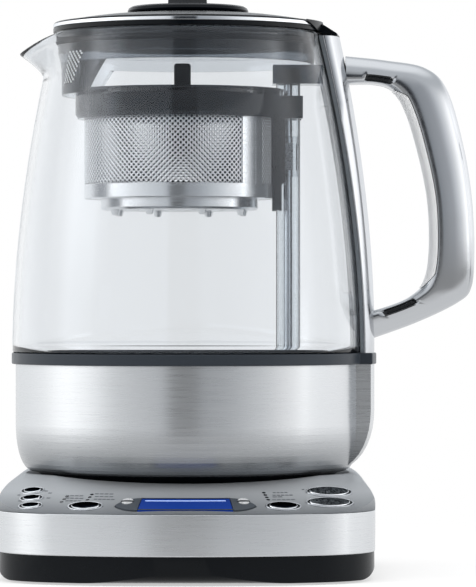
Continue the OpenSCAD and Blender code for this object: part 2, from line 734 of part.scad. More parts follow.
// A fraction of the handle's outline as [x, z]
function handle_place(p) = [handle_root_x + p[0] * (handle_reach - handle_root_x),
    lower_arm_z + p[1] * (upper_arm_z - lower_arm_z)];
function outer_side(t) = handle_place(along(grip_outer, t));
drawn_depth = norm(outer_side(0.6) - handle_place(along(grip_inner, 0.6)));
function inner_side(t) = let (o = outer_side(t))
    o + (handle_place(along(grip_inner, t)) - o) * grip_depth / drawn_depth;
function depth_at(t) = norm(outer_side(t) - inner_side(t));
function half_width_at(t) = grip_half_w * (0.86 + 0.14 * sin(180 * t));

// A point of the handle's section: u along its depth from the outer side in, v across
function grip_point(t, u, v) = let (o = outer_side(t), n = (inner_side(t) - o) / depth_at(t))
    [o[0] + n[0] * u, v, o[1] + n[1] * u];

function rounded(angle, power) = [sign(cos(angle)) * pow(abs(cos(angle)), power),
    sign(sin(angle)) * pow(abs(sin(angle)), power)];

// Fractions of the handle's length: where the insert lies, and how long each of its tapered ends is
liner_span = [0.2, 0.74];
liner_taper = 0.07;
flat_turn = 28;
inner_power = 0.45;
outer_power = 0.7;
egg_taper = 0.35;

// Half the turn of the section that is cut off flat on the inside, where the insert lies
function liner_turn(t) = let (d = depth_at(t) / 2, full = acos(pow(max(0.05, 1 - liner_t / d), 1 / inner_power)),
        part = max(0, min(1, (t - liner_span[0]) / liner_taper, (liner_span[1] - t) / liner_taper)))
    flat_turn + (full - flat_turn) * part;

// A point on the section's outline, with the turn counted from the inner side and u no less than least.
// The section is egg-shaped: full and boxy on the inside, and narrower towards the outside.
function outline_point(t, turn, least) = let (d = depth_at(t) / 2,
        p = rounded(turn, cos(turn) > 0 ? inner_power : outer_power))
    grip_point(t, max(least, d + d * p[0]), half_width_at(t) * p[1] * (1 - egg_taper * pow((1 - p[0]) / 2, 2)));

function grip_ring(t) = let (a = 180 - liner_turn(t))
    [for (i = [-9:9]) outline_point(t, 180 - a * i / 9, 0)];

function liner_ring(t) = let (a = liner_turn(t), d = depth_at(t) / 2,
        face = d + d * pow(cos(a), inner_power) + seat_gap)
    [for (i = [5:-1:-5]) outline_point(t, a * i / 5, face)];

// Scoops along the inner edge of each arm, between two fractions of the handle's length
scoop_spans = [[0.06, 0.2], [0.8, 0.94]];
scoop_r = 2.4;
scoop_out = 1.2;
function scoop_end(t, side) = grip_point(t, depth_at(t) * 0.8, side * (half_width_at(t) + scoop_out));

grip_steps = 40;
arm_screw_r = 2;
arm_screw_l = 12;
arm_levels = [(outer_side(0.05)[1] + inner_side(0.05)[1]) / 2, (outer_side(0.96)[1] + inner_side(0.96)[1]) / 2];

// Holes for the two screws that hold the handle's arms to the pillar
module arm_holes(r, length) for (z = arm_levels)
    translate([glass_radius(z) + backing_t, 0, z]) rotate([0, 90, 0]) cylinder(r = r, h = length, $fn = 24);

module handle_grip() color(steel) seat() difference() {
    skin([for (i = [0:grip_steps]) grip_ring(i / grip_steps)]);
    arm_holes(arm_screw_r + seat_gap, arm_screw_l + 2);
    skin([for (z = pillar_levels) pillar_ring(z, -handle_root_in - 3, 3 * seat_gap, pillar_half_w + 2)]);
    for (span = scoop_spans, side = [-1, 1]) {
        from = scoop_end(span[0], side);
        run = scoop_end(span[1], side) - from;
        translate(from) rotate([0, acos(run[2] / norm(run)), atan2(run[1], run[0])])
            cylinder(r = scoop_r, h = norm(run), $fn = 32);
    }
}

module grip_liner() color(smoke) seat()
    skin([for (i = [ceil(liner_span[0] * grip_steps):floor(liner_span[1] * grip_steps)])
        liner_ring(i / grip_steps)]);

pillar_levels = [for (i = [0:14]) glass_z + seat_gap + (glass_h - 2) * i / 14];

// How far the pillar stands out from the glass at a height
function pillar_out(z) = pillar_foot_t + (pillar_head_t - pillar_foot_t) * (z - glass_z) / glass_h;

// Ring of a strip that lies on the glass: from start to the pillar's face plus grow
function pillar_ring(z, start, grow, half) = let (r = glass_radius(z) + start, a = asin(half / r), n = 9)
    concat([for (i = [-n:n]) let (u = i / n, out = pillar_out(z) - start - pillar_edge_t)
            (r + pillar_edge_t + grow + out * pow(1 - pow(abs(u), 4), 0.6)) * [cos(a * u), sin(a * u), 0]
                + [0, 0, z]],
        [for (i = [n:-3:-n]) r * [cos(a * i / n), sin(a * i / n), 0] + [0, 0, z]]);

module handle_pillar() color(steel) seat() difference() {
    skin([for (z = pillar_levels) pillar_ring(z, backing_t + running_gap + 4 * seat_gap, 0, pillar_half_w)]);
    arm_holes(arm_screw_r + seat_gap, arm_screw_l + 2);
}

// Dark strip between the glass and the metal pillar
module pillar_backing() color(smoke) seat() skin([for (z = pillar_levels)
    let (r = glass_radius(z) + running_gap, a = asin((pillar_half_w - 0.5) / r), n = 6)
    concat([for (i = [-n:n]) (r + backing_t) * [cos(a * i / n), sin(a * i / n), 0] + [0, 0, z]],
        [for (i = [n:-1:-n]) r * [cos(a * i / n), sin(a * i / n), 0] + [0, 0, z]])]);

// Black cap on the head of the pillar, sloping down outwards
module pillar_hood() color(black) seat() {
    half = 14;
    foot = pillar_levels[14] + seat_gap;
    face = glass_radius(foot) + pillar_out(foot);
    difference() {
        intersection() {
            cylinder(r = face, h = rim_z + 20);
            translate([0, -half, foot]) cube([2 * rim_r, 2 * half, 20]);
            translate([0, 0, lid_rim_z + 1]) rotate([0, 32, 0]) translate([0, -half, -rim_r])
                cube([2 * rim_r, 2 * half, rim_r * (1 + sin(32))]);
        }
        cylinder(r = max(rim_r, glass_radius(foot)) + running_gap, h = rim_z + 30);
    }
}

module handle_screws() color(polished) seat() for (z = arm_levels)
    translate([glass_radius(z) + backing_t + running_gap + 1, 0, z]) rotate([0, 90, 0])
        cylinder(r = arm_screw_r, h = arm_screw_l, $fn = 24);

/* ---- Lid ---- */

module lid_dome() color(black) seat() difference() {
    union() {
        translate([0, 0, flange_z]) cylinder(r = rim_r, h = flange_h);
        rotate_extrude() polygon([[0, lid_rim_z], [rim_r - 2 - seat_gap, lid_rim_z],
            [rim_r - 2 - seat_gap, dome_z - 0.3], for (i = [0:8]) let (u = i / 8)
            [rim_r - 2.4 - (rim_r - 2.4 - knob_r + 2) * u, dome_z + dome_h * sin(90 * u)],
            [0, dome_z + dome_h]]);
    }
    translate([0, 0, flange_z - 1]) cylinder(r = skirt_r - 4, h = flange_h + rim_h);
    translate([0, 0, flange_z - 1]) cylinder(r = 4, h = 30);
}

module lid_rim() color(polished) seat() translate([0, 0, lid_rim_z + seat_gap]) rotate_extrude()
    polygon([[rim_r - 2, 0], [rim_r, 0], [rim_r, rim_h - 1], [rim_r - 0.7, rim_h - 0.2],
        [rim_r - 2, rim_h - 0.2]]);

module lid_knob() color(black) seat() {
    translate([0, 0, knob_z]) rotate_extrude() polygon([[0, 0], [knob_r - 1.6, 0], [knob_r - 0.3, 0.9],
        [knob_r, 1.7], [knob_r - 0.6, knob_h - 0.7], [knob_r - 1.8, knob_h], [0, knob_h]]);
    // the finger tab across the knob
    translate([0, 0, knob_z + knob_h - 0.5]) intersection() {
        translate([-tab_w / 2, -knob_r, 0]) cube([tab_w, 2 * knob_r, tab_h + 0.5]);
        translate([0, 0, 0]) cylinder(r1 = knob_r - 3, r2 = knob_r - 6, h = tab_h + 0.5);
    }
    // the stem that holds the knob to the lid
    translate([0, 0, dome_z - 1]) cylinder(r = 4 - seat_gap, h = knob_z - dome_z + 1.5);
}

module lid_seal() color(rubber) seat() translate([0, 0, seal_z]) rotate_extrude()
    polygon([[skirt_r - 1 + seat_gap, 0], [skirt_r + 0.2, 0], [neck_r - 0.25, 1.2], [skirt_r + 0.2, 2.4],
        [skirt_r - 1 + seat_gap, 2.4]]);

// Half of the tongue's outline, seen from the spout: its slanted edge as a cutting wedge
module tongue_edge(side) {
    foot_angle = tongue_half_angle;
    head_angle = tongue_half_angle + 11;
    half_foot = skirt_r * sin(foot_angle);
    half_head = skirt_r * sin(head_angle);
    rotate([90, 0, -90]) linear_extrude(2 * skirt_r) polygon([[side * half_foot, tongue_foot_z - 1],
        [side * half_foot, tongue_foot_z], [side * half_head, skirt_foot_z], [side * 2 * skirt_r, skirt_foot_z],
        [side * 2 * skirt_r, tongue_foot_z - 1]]);
}

// Patch of holes on each side of the tongue, its rows stepping towards the spout as they go down
module filter_holes() for (side = [-1, 1], row = [0:filter_rows - 1], column = [0:filter_columns - 1]) {
    pitch = 3 * filter_hole_r;
    z = skirt_foot_z + 3.2 - row * pitch * 0.7;
    angle = 19 + (column + (row % 2) / 2) * 2.6 + (filter_rows - row) * 1.1;
    rotate([0, 0, 180 + side * angle]) translate([skirt_r - skirt_wall - 1, 0, z]) rotate([0, 90, 0])
        cylinder(r = filter_hole_r, h = skirt_wall + 2, $fn = 16);
}

module lid_skirt() color(smoke) seat() difference() {
    union() {
        translate([0, 0, skirt_foot_z]) ring(skirt_r - skirt_wall, skirt_r, skirt_h - 1.4);
        translate([0, 0, rim_z - 1.4]) cylinder(r = skirt_r, h = 1.4);
        // the collar that carries the knob's stem
        translate([0, 0, rim_z - 0.1]) cylinder(r = 7, h = flange_h + rim_h - 1);
        difference() {
            translate([0, 0, tongue_foot_z]) rotate([0, 0, 90]) rotate_extrude(angle = 180)
                translate([skirt_r - skirt_wall, 0]) square([skirt_wall, tongue_h - skirt_h + 0.1]);
            for (side = [-1, 1]) tongue_edge(side);
        }
    }
    translate([0, 0, rim_z - 2]) cylinder(r = 3.9, h = 20);
    // groove for the seal
    translate([0, 0, seal_z - seat_gap]) ring(skirt_r - 1, skirt_r + 1, 2.4 + 2 * seat_gap);
    // ribs left standing between shallow grooves
    for (rise = [5.2, 6.6]) translate([0, 0, skirt_foot_z + rise]) ring(skirt_r - 0.4, skirt_r + 1, 0.7);
    filter_holes();
}

/* ---- Basket and the column that lifts it ---- */

// Moves to the basket's axis
module basket_seat() seat() translate([-basket_shift, 0, 0]) children();

module basket_collar() color(smoke) seat() difference() {
    translate([-basket_shift, 0, 0]) rotate_extrude() polygon([[basket_seat_r, collar_z],
        [collar_r - 1.2, collar_z], [collar_r, collar_z + 2], [collar_r, collar_top_z - 1],
        [collar_r + collar_lip, collar_top_z - 0.6], [collar_r + collar_lip, collar_top_z],
        [basket_seat_r, collar_top_z]]);
    // room for the column
    translate([column_x - column_w / 2 - 3 * running_gap, -arm_in, 0])
        cube([2 * column_w, 2 * arm_in, rim_z]);
}

// Two fingers beside the column, each with an arm down to a small tongue, fixed to the collar's side
module basket_arms() color(smoke) seat() difference() {
    for (side = [0, 1]) mirror([0, side, 0]) translate([0, arm_in, 0]) {
        translate([arm_from, 0, collar_z]) cube([guide_end - arm_from, arm_t, finger_h]);
        rotate([90, 0, 0]) translate([0, 0, -arm_t]) linear_extrude(arm_t) polygon([[arm_from, arm_foot_z],
            [arm_to, arm_foot_z + 4.3], [arm_to, collar_z + 1], [arm_from, collar_z + 1]]);
        translate([arm_to - 5.6, 1.4, arm_foot_z - 8.2]) cube([4, 2.2, 12]);
    }
    // room for the collar and the basket's wall
    translate([-basket_shift, 0, arm_foot_z - 10])
        cylinder(r = basket_seat_r, h = collar_z - arm_foot_z + 10.01);
    translate([-basket_shift, 0, collar_z]) cylinder(r = collar_r + collar_lip + seat_gap, h = collar_h + 1);
    magnet_places(seat_gap);
}

// The magnets sit in the inner faces of the two arms
module magnet_places(grow) for (side = [0, 1]) mirror([0, side, 0])
    translate([column_x - 4.4 - grow, arm_in - 1, arm_foot_z + 8 - grow])
        cube([2.6 + 2 * grow, 3 + grow, 16 + 2 * grow]);

module basket_magnets() color(polished) seat() difference() {
    magnet_places(0);
    translate([0, -arm_in - 0.2, 0]) cube([80, 2 * arm_in + 0.4, rim_z]);
}

// Perforated wall with its plain band, and a lip that hangs inside the collar
module basket_wall() color(polished) basket_seat() {
    pitch = mesh_drop / (hole_rows + 0.5);
    difference() {
        translate([0, 0, mesh_foot_z]) ring(mesh_r - mesh_wall, mesh_r, collar_top_z - mesh_foot_z - 3);
        for (row = [0:hole_rows - 1], i = [0:holes_round - 1])
            rotate([0, 0, (i + (row % 2) / 2 + 0.25) * 360 / holes_round])
            translate([mesh_r - 2, 0, band_top_z + (row + 0.75) * pitch]) rotate([0, 90, 0])
            cylinder(r = mesh_hole_r, h = 4, $fn = 16);
    }
}

module basket_floor() color(polished) basket_seat() translate([0, 0, mesh_foot_z]) {
    top_r = mesh_r - mesh_wall - seat_gap;
    difference() {
        rotate_extrude() polygon([[0, -floor_h], [floor_r - 1, -floor_h], [floor_r, -floor_h + 1],
            [floor_r, 0], [top_r, 0.3], [top_r, 3], [top_r - 0.6, 3], [top_r - 0.6, 0.9],
            [floor_r - 0.6, 0.6], [floor_r - 0.6, -floor_h + 1.2], [floor_r - 1.2, -floor_h + 0.6],
            [0, -floor_h + 0.6]]);
        for (turn = [0:30:330], r = [10, 20, 29]) rotate([0, 0, turn + r]) translate([r, 0, -floor_h - 1])
            cylinder(r = 1.4, h = 4, $fn = 16);
    }
    // small feet that keep the floor off the heating plate
    for (turn = [20:45:335]) rotate([0, 0, turn]) translate([floor_r - 5, 0, -floor_h - 2.4])
        cylinder(r1 = 1.4, r2 = 2.2, h = 2.5, $fn = 32);
}

module basket_lid() color(polished) basket_seat() translate([0, 0, collar_top_z - 2.9]) difference() {
    union() {
        cylinder(r = mesh_r - 1, h = 0.8);
        ring(mesh_r - 1.8, mesh_r - 1, 2.2);
    }
    translate([0, 0, -1]) cylinder(r = 2, h = 4);
    for (turn = [0:30:330], r = [12, 22, 32]) rotate([0, 0, turn + r]) translate([r, 0, -1])
        cylinder(r = 1.6, h = 4, $fn = 16);
}

module basket_lid_knob() color(black) basket_seat() translate([1.3, 0, collar_top_z - 2.1 + seat_gap]) {
    cylinder(r = 3.8, h = 13.2);
    translate([0, 0, 13.2]) cylinder(r1 = 3.8, r2 = 3.2, h = 0.8);
}

// Outline of the column, drawn in by inset
module column_outline(inset) {
    round_r = 3;
    w = column_w / 2 - round_r;
    d = column_d / 2 - round_r;
    for (x = [-w, w], y = [-d, d]) translate([x, y]) circle(round_r - inset, $fn = 32);
    square([column_w - 2 * inset, 2 * d], center = true);
    square([2 * w, column_d - 2 * inset], center = true);
}

module lift_column() color(clear) seat() translate([column_x, 0, plate_top_z + 1.05]) difference() {
    linear_extrude(column_top_z - plate_top_z - 1.05) column_outline(0);
    translate([0, 0, -1]) linear_extrude(column_top_z) column_outline(column_wall);
}

// Seal round the screw where the column stands on the heating plate
module column_gland() color(rubber) seat() translate([column_x, 0, 0]) difference() {
    union() {
        translate([0, 0, motor_top_z + seat_gap])
            cylinder(r = gland_r, h = plate_top_z + seat_gap - motor_top_z - seat_gap);
        translate([0, 0, plate_top_z + seat_gap]) linear_extrude(1 - seat_gap) column_outline(-0.6);
    }
    cylinder(r = screw_r + screw_gap, h = rim_z);
}

// Cap on the column's head, reaching over to the glass
module column_head() color(smoke) seat() difference() {
    union() {
        intersection() {
            translate([column_x - column_w / 2 - 1.6, -column_d / 2 - 1.6, column_top_z - 7])
                cube([30, column_d + 3.2, 7 + skirt_foot_z - column_top_z - 0.3]);
            cylinder(r = glass_radius(skirt_foot_z) - glass_wall - running_gap, h = rim_z);
        }
    }
    translate([column_x, 0, column_top_z - 20]) linear_extrude(20 + seat_gap) column_outline(-seat_gap);
}

module lift_motor() color(steel) seat() translate([column_x, 0, motor_top_z - motor_h]) {
    cylinder(r = motor_r, h = motor_h - 3);
    translate([0, 0, motor_h - 3]) cylinder(r = 5, h = 3);
    translate([0, 0, -2]) cylinder(r = 3, h = 2);
}

module lead_screw() color(polished) seat() translate([column_x, 0, motor_top_z + seat_gap])
    cylinder(r = screw_r, h = column_top_z - motor_top_z - 1);

// Nut that runs on the screw inside the column, carrying magnets opposite the basket's
module lift_carriage() color(black) seat() translate([column_x, 0, carriage_z]) difference() {
    linear_extrude(carriage_h) column_outline(column_wall + running_gap);
    translate([0, 0, -1]) cylinder(r = screw_r + screw_gap, h = carriage_h + 2);
    for (side = [0, 1]) mirror([0, side, 0]) translate([-2.05, carriage_d / 2 - 1.85, 2.95])
        cube([4.1, 3, 12.1]);
}

module carriage_magnets() color(polished) seat() translate([column_x, 0, carriage_z])
    for (side = [0, 1]) mirror([0, side, 0]) translate([-2, carriage_d / 2 - 1.8, 3]) cube([4, 1.7, 12]);

base_tray();
base_band();
base_top();
base_feet();
base_screws();
cord_inlet();
power_connector();
connector_contacts();
circuit_board();
display_glass();
display_module();
temperature_key();
time_key();
tea_type_button();
strength_button();
hot_water_button();
start_button();
keep_warm_button();
clock_button();
auto_start_button();
button_rings();
indicator_windows();
jug_glass();
jug_band();
jug_bowl();
jug_underside();
jug_socket();
socket_contacts();
heating_plate();
heating_element();
thermostat();
lift_motor();
lift_column();
column_gland();
column_head();
lead_screw();
lift_carriage();
carriage_magnets();
handle_grip();
grip_liner();
handle_pillar();
pillar_backing();
pillar_hood();
handle_screws();
lid_dome();
lid_rim();
lid_knob();
lid_seal();
lid_skirt();
basket_collar();
basket_arms();
basket_wall();
basket_floor();
basket_magnets();
basket_lid();
basket_lid_knob();
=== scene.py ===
from math import acos, atan2, cos, degrees, pi, radians, sin

import bmesh
import bpy
from mathutils import Matrix, Vector


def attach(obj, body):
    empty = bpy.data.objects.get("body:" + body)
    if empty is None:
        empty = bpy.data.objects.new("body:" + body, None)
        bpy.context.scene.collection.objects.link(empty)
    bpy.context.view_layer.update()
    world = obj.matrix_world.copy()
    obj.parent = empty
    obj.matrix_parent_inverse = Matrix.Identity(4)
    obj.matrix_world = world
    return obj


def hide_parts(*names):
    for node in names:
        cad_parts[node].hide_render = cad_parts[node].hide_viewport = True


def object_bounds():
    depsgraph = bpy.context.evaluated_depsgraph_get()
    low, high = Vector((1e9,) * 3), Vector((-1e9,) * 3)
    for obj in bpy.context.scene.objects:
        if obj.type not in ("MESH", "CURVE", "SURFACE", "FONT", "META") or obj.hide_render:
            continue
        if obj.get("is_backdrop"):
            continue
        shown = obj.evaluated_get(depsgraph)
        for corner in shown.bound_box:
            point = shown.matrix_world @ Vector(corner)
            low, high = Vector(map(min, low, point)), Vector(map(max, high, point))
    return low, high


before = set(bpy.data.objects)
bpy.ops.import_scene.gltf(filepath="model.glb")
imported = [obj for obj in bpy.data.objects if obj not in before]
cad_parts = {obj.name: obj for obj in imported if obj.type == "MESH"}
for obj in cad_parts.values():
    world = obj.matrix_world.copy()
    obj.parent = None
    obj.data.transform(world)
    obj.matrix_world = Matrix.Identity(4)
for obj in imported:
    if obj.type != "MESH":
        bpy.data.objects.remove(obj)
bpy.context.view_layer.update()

# ---- Studio ----
# The camera stands level with the middle of the jug, straight in front of it, and far enough away for the sides to
# stay upright. The floor and the room are white, with a tall soft lamp at each side and one above.

camera = bpy.data.objects.new("camera", bpy.data.cameras.new("camera"))
bpy.context.scene.collection.objects.link(camera)
bpy.context.scene.camera = camera
camera.data.sensor_width = 36
camera.data.lens = 245.3
camera.data.clip_end = 50
camera.location = (-0.00065, -1.792, 0.1193)
camera.rotation_euler = (radians(90.18), 0, 0)
bpy.context.scene.view_settings.view_transform = "Standard"


def linear(colour):
    """The linear values of an sRGB colour that is written as a hex string."""
    parts = [int(colour[i:i + 2], 16) / 255 for i in (1, 3, 5)]
    return [p / 12.92 if p <= 0.04045 else ((p + 0.055) / 1.055) ** 2.4 for p in parts] + [1]


def add_node(tree, kind, inputs=None, **settings):
    """Adds a node with its settings, and with values or other nodes' outputs on its sockets."""
    node = tree.nodes.new("ShaderNode" + kind)
    for name, value in settings.items():
        setattr(node, name, value)
    for socket, value in (inputs or {}).items():
        if isinstance(value, bpy.types.NodeSocket):
            tree.links.new(value, node.inputs[socket])
        else:
            node.inputs[socket].default_value = value
    return node


def add_lamp(name, place, aim, width, height, watts):
    """A soft box that hangs at a place and points at another."""
    lamp = bpy.data.objects.new(name, bpy.data.lights.new(name, "AREA"))
    bpy.context.scene.collection.objects.link(lamp)
    lamp.data.shape = "RECTANGLE"
    lamp.data.size, lamp.data.size_y = width, height
    lamp.data.energy = watts
    lamp.location = place
    lamp.rotation_euler = (Vector(aim) - Vector(place)).to_track_quat("-Z", "Y").to_euler()
    lamp.visible_glossy = lamp.visible_transmission = False


middle = (0, 0, 0.13)
add_lamp("lamp_left", (-1.25, -0.55, 0.45), middle, 0.55, 1.3, 15)
add_lamp("lamp_right", (1.25, -0.45, 0.45), middle, 0.45, 1.3, 13)
add_lamp("lamp_above", (0, -0.1, 1.5), middle, 1.2, 1.2, 12)

world = bpy.data.worlds.new("room")
bpy.context.scene.world = world
world.use_nodes = True
tree = world.node_tree
tree.nodes.clear()
# Reflections see the room by direction. It is dim behind the camera, where a dark upright gap stands, and bright at
# the sides. A tall soft box stands at the left above the object's foot, and a narrow one at the right.
direction = add_node(tree, "TexCoord").outputs["Generated"]
across = add_node(tree, "SeparateXYZ", {0: direction})
away = add_node(tree, "Math", {0: across.outputs["Y"], 1: -1.0}, operation="MULTIPLY")
round_angle = add_node(tree, "Math", {0: across.outputs["X"], 1: away.outputs[0]}, operation="ARCTAN2")
round_share = add_node(tree, "MapRange", {"Value": round_angle.outputs[0], "From Min": -pi, "From Max": pi})


def set_steps(ramp, steps):
    """Gives a colour ramp its colours at directions in degrees: 0 is behind the camera, and 90 is at the right."""
    elements = ramp.color_ramp.elements
    while len(elements) < len(steps):
        elements.new(0.5)
    for element, (angle, colour) in zip(elements, steps):
        element.position, element.color = 0.5 + angle / 360, linear(colour)


walls = add_node(tree, "ValToRGB", {0: round_share.outputs[0]})
set_steps(walls, [(-180, "#a9acaf"), (-150, "#c4c6c8"), (-120, "#e2e3e4"), (-100, "#f4f4f4"), (-85, "#ffffff"),
                  (-65, "#e7e8e9"), (-42, "#c6c8ca"), (-25, "#b3b5b8"), (-14, "#a8abaf"), (-11, "#1c1f23"),
                  (7, "#1c1f23"), (9.5, "#7a7e83"), (20, "#808387"), (30, "#93969a"), (42, "#b2b4b7"),
                  (54, "#c6c8ca"), (66, "#e1e1e2"), (80, "#f9f9f9"), (100, "#e7e8e9"), (120, "#e1e1e2"),
                  (150, "#c4c6c8"), (180, "#a9acaf")])
boxes = add_node(tree, "ValToRGB", {0: round_share.outputs[0]})
set_steps(boxes, [(-112, "#000000"), (-98, "#ffffff"), (-66, "#ffffff"), (-52, "#000000"), (80, "#000000"),
                  (82, "#ffffff"), (86, "#ffffff"), (88, "#000000")])
lifted = add_node(tree, "MapRange", {"Value": across.outputs["Z"], "From Min": 0.08, "From Max": 0.2})
low_part = add_node(tree, "MapRange", {"Value": across.outputs["Z"], "From Min": 0.1, "From Max": 0.04})
at_right = add_node(tree, "Math", {0: across.outputs["X"], 1: 0.0}, operation="GREATER_THAN")
open_part = add_node(tree, "MixRGB", {0: at_right.outputs[0], 1: lifted.outputs[0], 2: low_part.outputs[0]})
box_light = add_node(tree, "Math", {0: boxes.outputs["Color"], 1: open_part.outputs[0]}, operation="MULTIPLY")
# The walls shine at 2, and the boxes at 3.3.
brightness = add_node(tree, "MapRange", {"Value": box_light.outputs[0], "To Min": 2.0, "To Max": 3.3})
room = walls
for low, high, colour in ((0.3, 0.55, "#a0a3a6"), (0.68, 0.95, "#ced0d2")):
    height = add_node(tree, "MapRange", {"Value": across.outputs["Z"], "From Min": low, "From Max": high},
                      interpolation_type="SMOOTHSTEP")
    room = add_node(tree, "MixRGB", {0: height.outputs["Result"], 1: room.outputs["Color"], 2: linear(colour)})
path = add_node(tree, "LightPath")
# Through glass, the room behind the object is white. It is dark to the sides, which draws the edges of the glass, and
# towards the camera it is the room that the metal behind the glass mirrors.
behind = add_node(tree, "MapRange", {"Value": across.outputs["Y"], "From Min": 0.4, "From Max": 0.7})
through = add_node(tree, "Math", {0: path.outputs["Is Transmission Ray"], 1: behind.outputs["Result"]},
                   operation="MULTIPLY")
seen = add_node(tree, "Math", {0: path.outputs["Is Camera Ray"], 1: through.outputs[0]}, operation="MAXIMUM")
mirrored = add_node(tree, "Math", {0: path.outputs["Is Glossy Ray"], 1: path.outputs["Is Transmission Ray"]},
                    operation="MAXIMUM")
soft_light = add_node(tree, "Background", {"Color": linear("#ffffff"), "Strength": 0.62})
aside = add_node(tree, "MapRange", {"Value": across.outputs["Y"], "From Min": -0.05, "From Max": 0.15})
bent_aside = add_node(tree, "Math", {0: path.outputs["Is Transmission Ray"], 1: aside.outputs["Result"]},
                      operation="MULTIPLY")
around = add_node(tree, "MixRGB", {0: bent_aside.outputs[0], 1: room.outputs["Color"], 2: linear("#2a2e33")})
reflected = add_node(tree, "Background", {"Color": around.outputs["Color"], "Strength": brightness.outputs[0]})
white = add_node(tree, "Background", {"Color": linear("#ffffff"), "Strength": 1.0})
glossy = add_node(tree, "MixShader", {0: mirrored.outputs[0], 1: soft_light.outputs[0],
                                      2: reflected.outputs[0]})
shown = add_node(tree, "MixShader", {0: seen.outputs[0], 1: glossy.outputs[0], 2: white.outputs[0]})
add_node(tree, "OutputWorld", {"Surface": shown.outputs[0]})

floor_mesh = bpy.data.meshes.new("floor")
form = bmesh.new()
bmesh.ops.create_grid(form, x_segments=1, y_segments=1, size=12)
form.to_mesh(floor_mesh)
form.free()
floor = bpy.data.objects.new("floor", floor_mesh)
bpy.context.scene.collection.objects.link(floor)
floor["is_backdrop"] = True
paper = bpy.data.materials.new("white_paper")
paper.use_nodes = True
tree = paper.node_tree
tree.nodes.clear()
# White paper that shows the object's shadow near it and runs into the white room further away.
place = add_node(tree, "NewGeometry").outputs["Position"]
distance = add_node(tree, "VectorMath", {0: place}, operation="LENGTH")
nearness = add_node(tree, "MapRange", {"Value": distance.outputs["Value"], "From Min": 0.14, "From Max": 0.42,
                                       "To Min": 0.45, "To Max": 0.0}, interpolation_type="SMOOTHSTEP")
path = add_node(tree, "LightPath")
plain = add_node(tree, "BsdfDiffuse", {"Color": linear("#f4f4f4")})
lit = add_node(tree, "Emission", {"Color": linear("#ffffff"), "Strength": 1.0})
shaded = add_node(tree, "MixShader", {0: nearness.outputs["Result"], 1: lit.outputs[0], 2: plain.outputs[0]})
seen = add_node(tree, "Math", {0: path.outputs["Is Camera Ray"], 1: path.outputs["Is Transmission Ray"]},
                operation="MAXIMUM")
direct = add_node(tree, "MixShader", {0: seen.outputs[0], 1: plain.outputs[0], 2: shaded.outputs[0]})
# A reflection sees it bright beside the object and dimmer towards the camera.
depth = add_node(tree, "SeparateXYZ", {0: place}).outputs["Y"]
towards = add_node(tree, "MapRange", {"Value": depth, "From Min": -0.5, "From Max": -0.15, "To Min": 0.42,
                                      "To Max": 1.0}, interpolation_type="SMOOTHSTEP")
dim = add_node(tree, "Emission", {"Color": linear("#f4f5f6"), "Strength": towards.outputs["Result"]})
sheet = add_node(tree, "MixShader", {0: path.outputs["Is Glossy Ray"], 1: direct.outputs[0], 2: dim.outputs[0]})
add_node(tree, "OutputMaterial", {"Surface": sheet.outputs[0]})
floor_mesh.materials.append(paper)

# ---- Tray, feet, screws and cord inlet ----
# The tray is a black injection-moulded ABS shell that carries everything else. It stands on four rubber feet and is
# screwed to the upper shell from below. The cord's inlet is a soft bush in its back.


def new_finish(name, **sockets):
    """A material with a Principled shader. Socket names are written with low lines for spaces."""
    made = bpy.data.materials.new(name)
    made.use_nodes = True
    shader = made.node_tree.nodes["Principled BSDF"]
    for socket, value in sockets.items():
        shader.inputs[socket.replace("_", " ")].default_value = value
    return made, made.node_tree, shader


def uneven(tree, shader, sizes_mm, low, high, depth_mm, strength):
    """Makes a shader's roughness vary between low and high, and its surface stand proud by depth_mm, in a pattern
    whose marks have the given sizes along x, y and z."""
    place = add_node(tree, "TexCoord").outputs["Object"]
    scaled = add_node(tree, "Mapping", {"Vector": place, "Scale": [1000 / s for s in sizes_mm]})
    marks = add_node(tree, "TexNoise", {"Vector": scaled.outputs[0], "Scale": 1.0, "Detail": 3.0})
    spread = add_node(tree, "MapRange", {"Value": marks.outputs["Fac"], "From Min": 0.3, "From Max": 0.7,
                                         "To Min": low, "To Max": high})
    tree.links.new(spread.outputs[0], shader.inputs["Roughness"])
    relief = add_node(tree, "Bump", {"Height": marks.outputs["Fac"], "Strength": strength,
                                     "Distance": depth_mm / 1000})
    tree.links.new(relief.outputs[0], shader.inputs["Normal"])
    return marks.outputs["Fac"]


def moulded_plastic(name, colour, gloss):
    """Injection-moulded ABS. The mould is polished but not perfect, so highlights are soft and slightly broken."""
    made, tree, shader = new_finish(name, Base_Color=linear(colour), IOR=1.53, Specular_IOR_Level=0.14)
    uneven(tree, shader, (6, 6, 6), gloss, gloss + 0.08, 0.02, 0.2)
    return made


def dress(node, finish):
    """Gives a carried-over CAD node its finish."""
    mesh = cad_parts[node].data
    mesh.materials.clear()
    mesh.materials.append(finish)


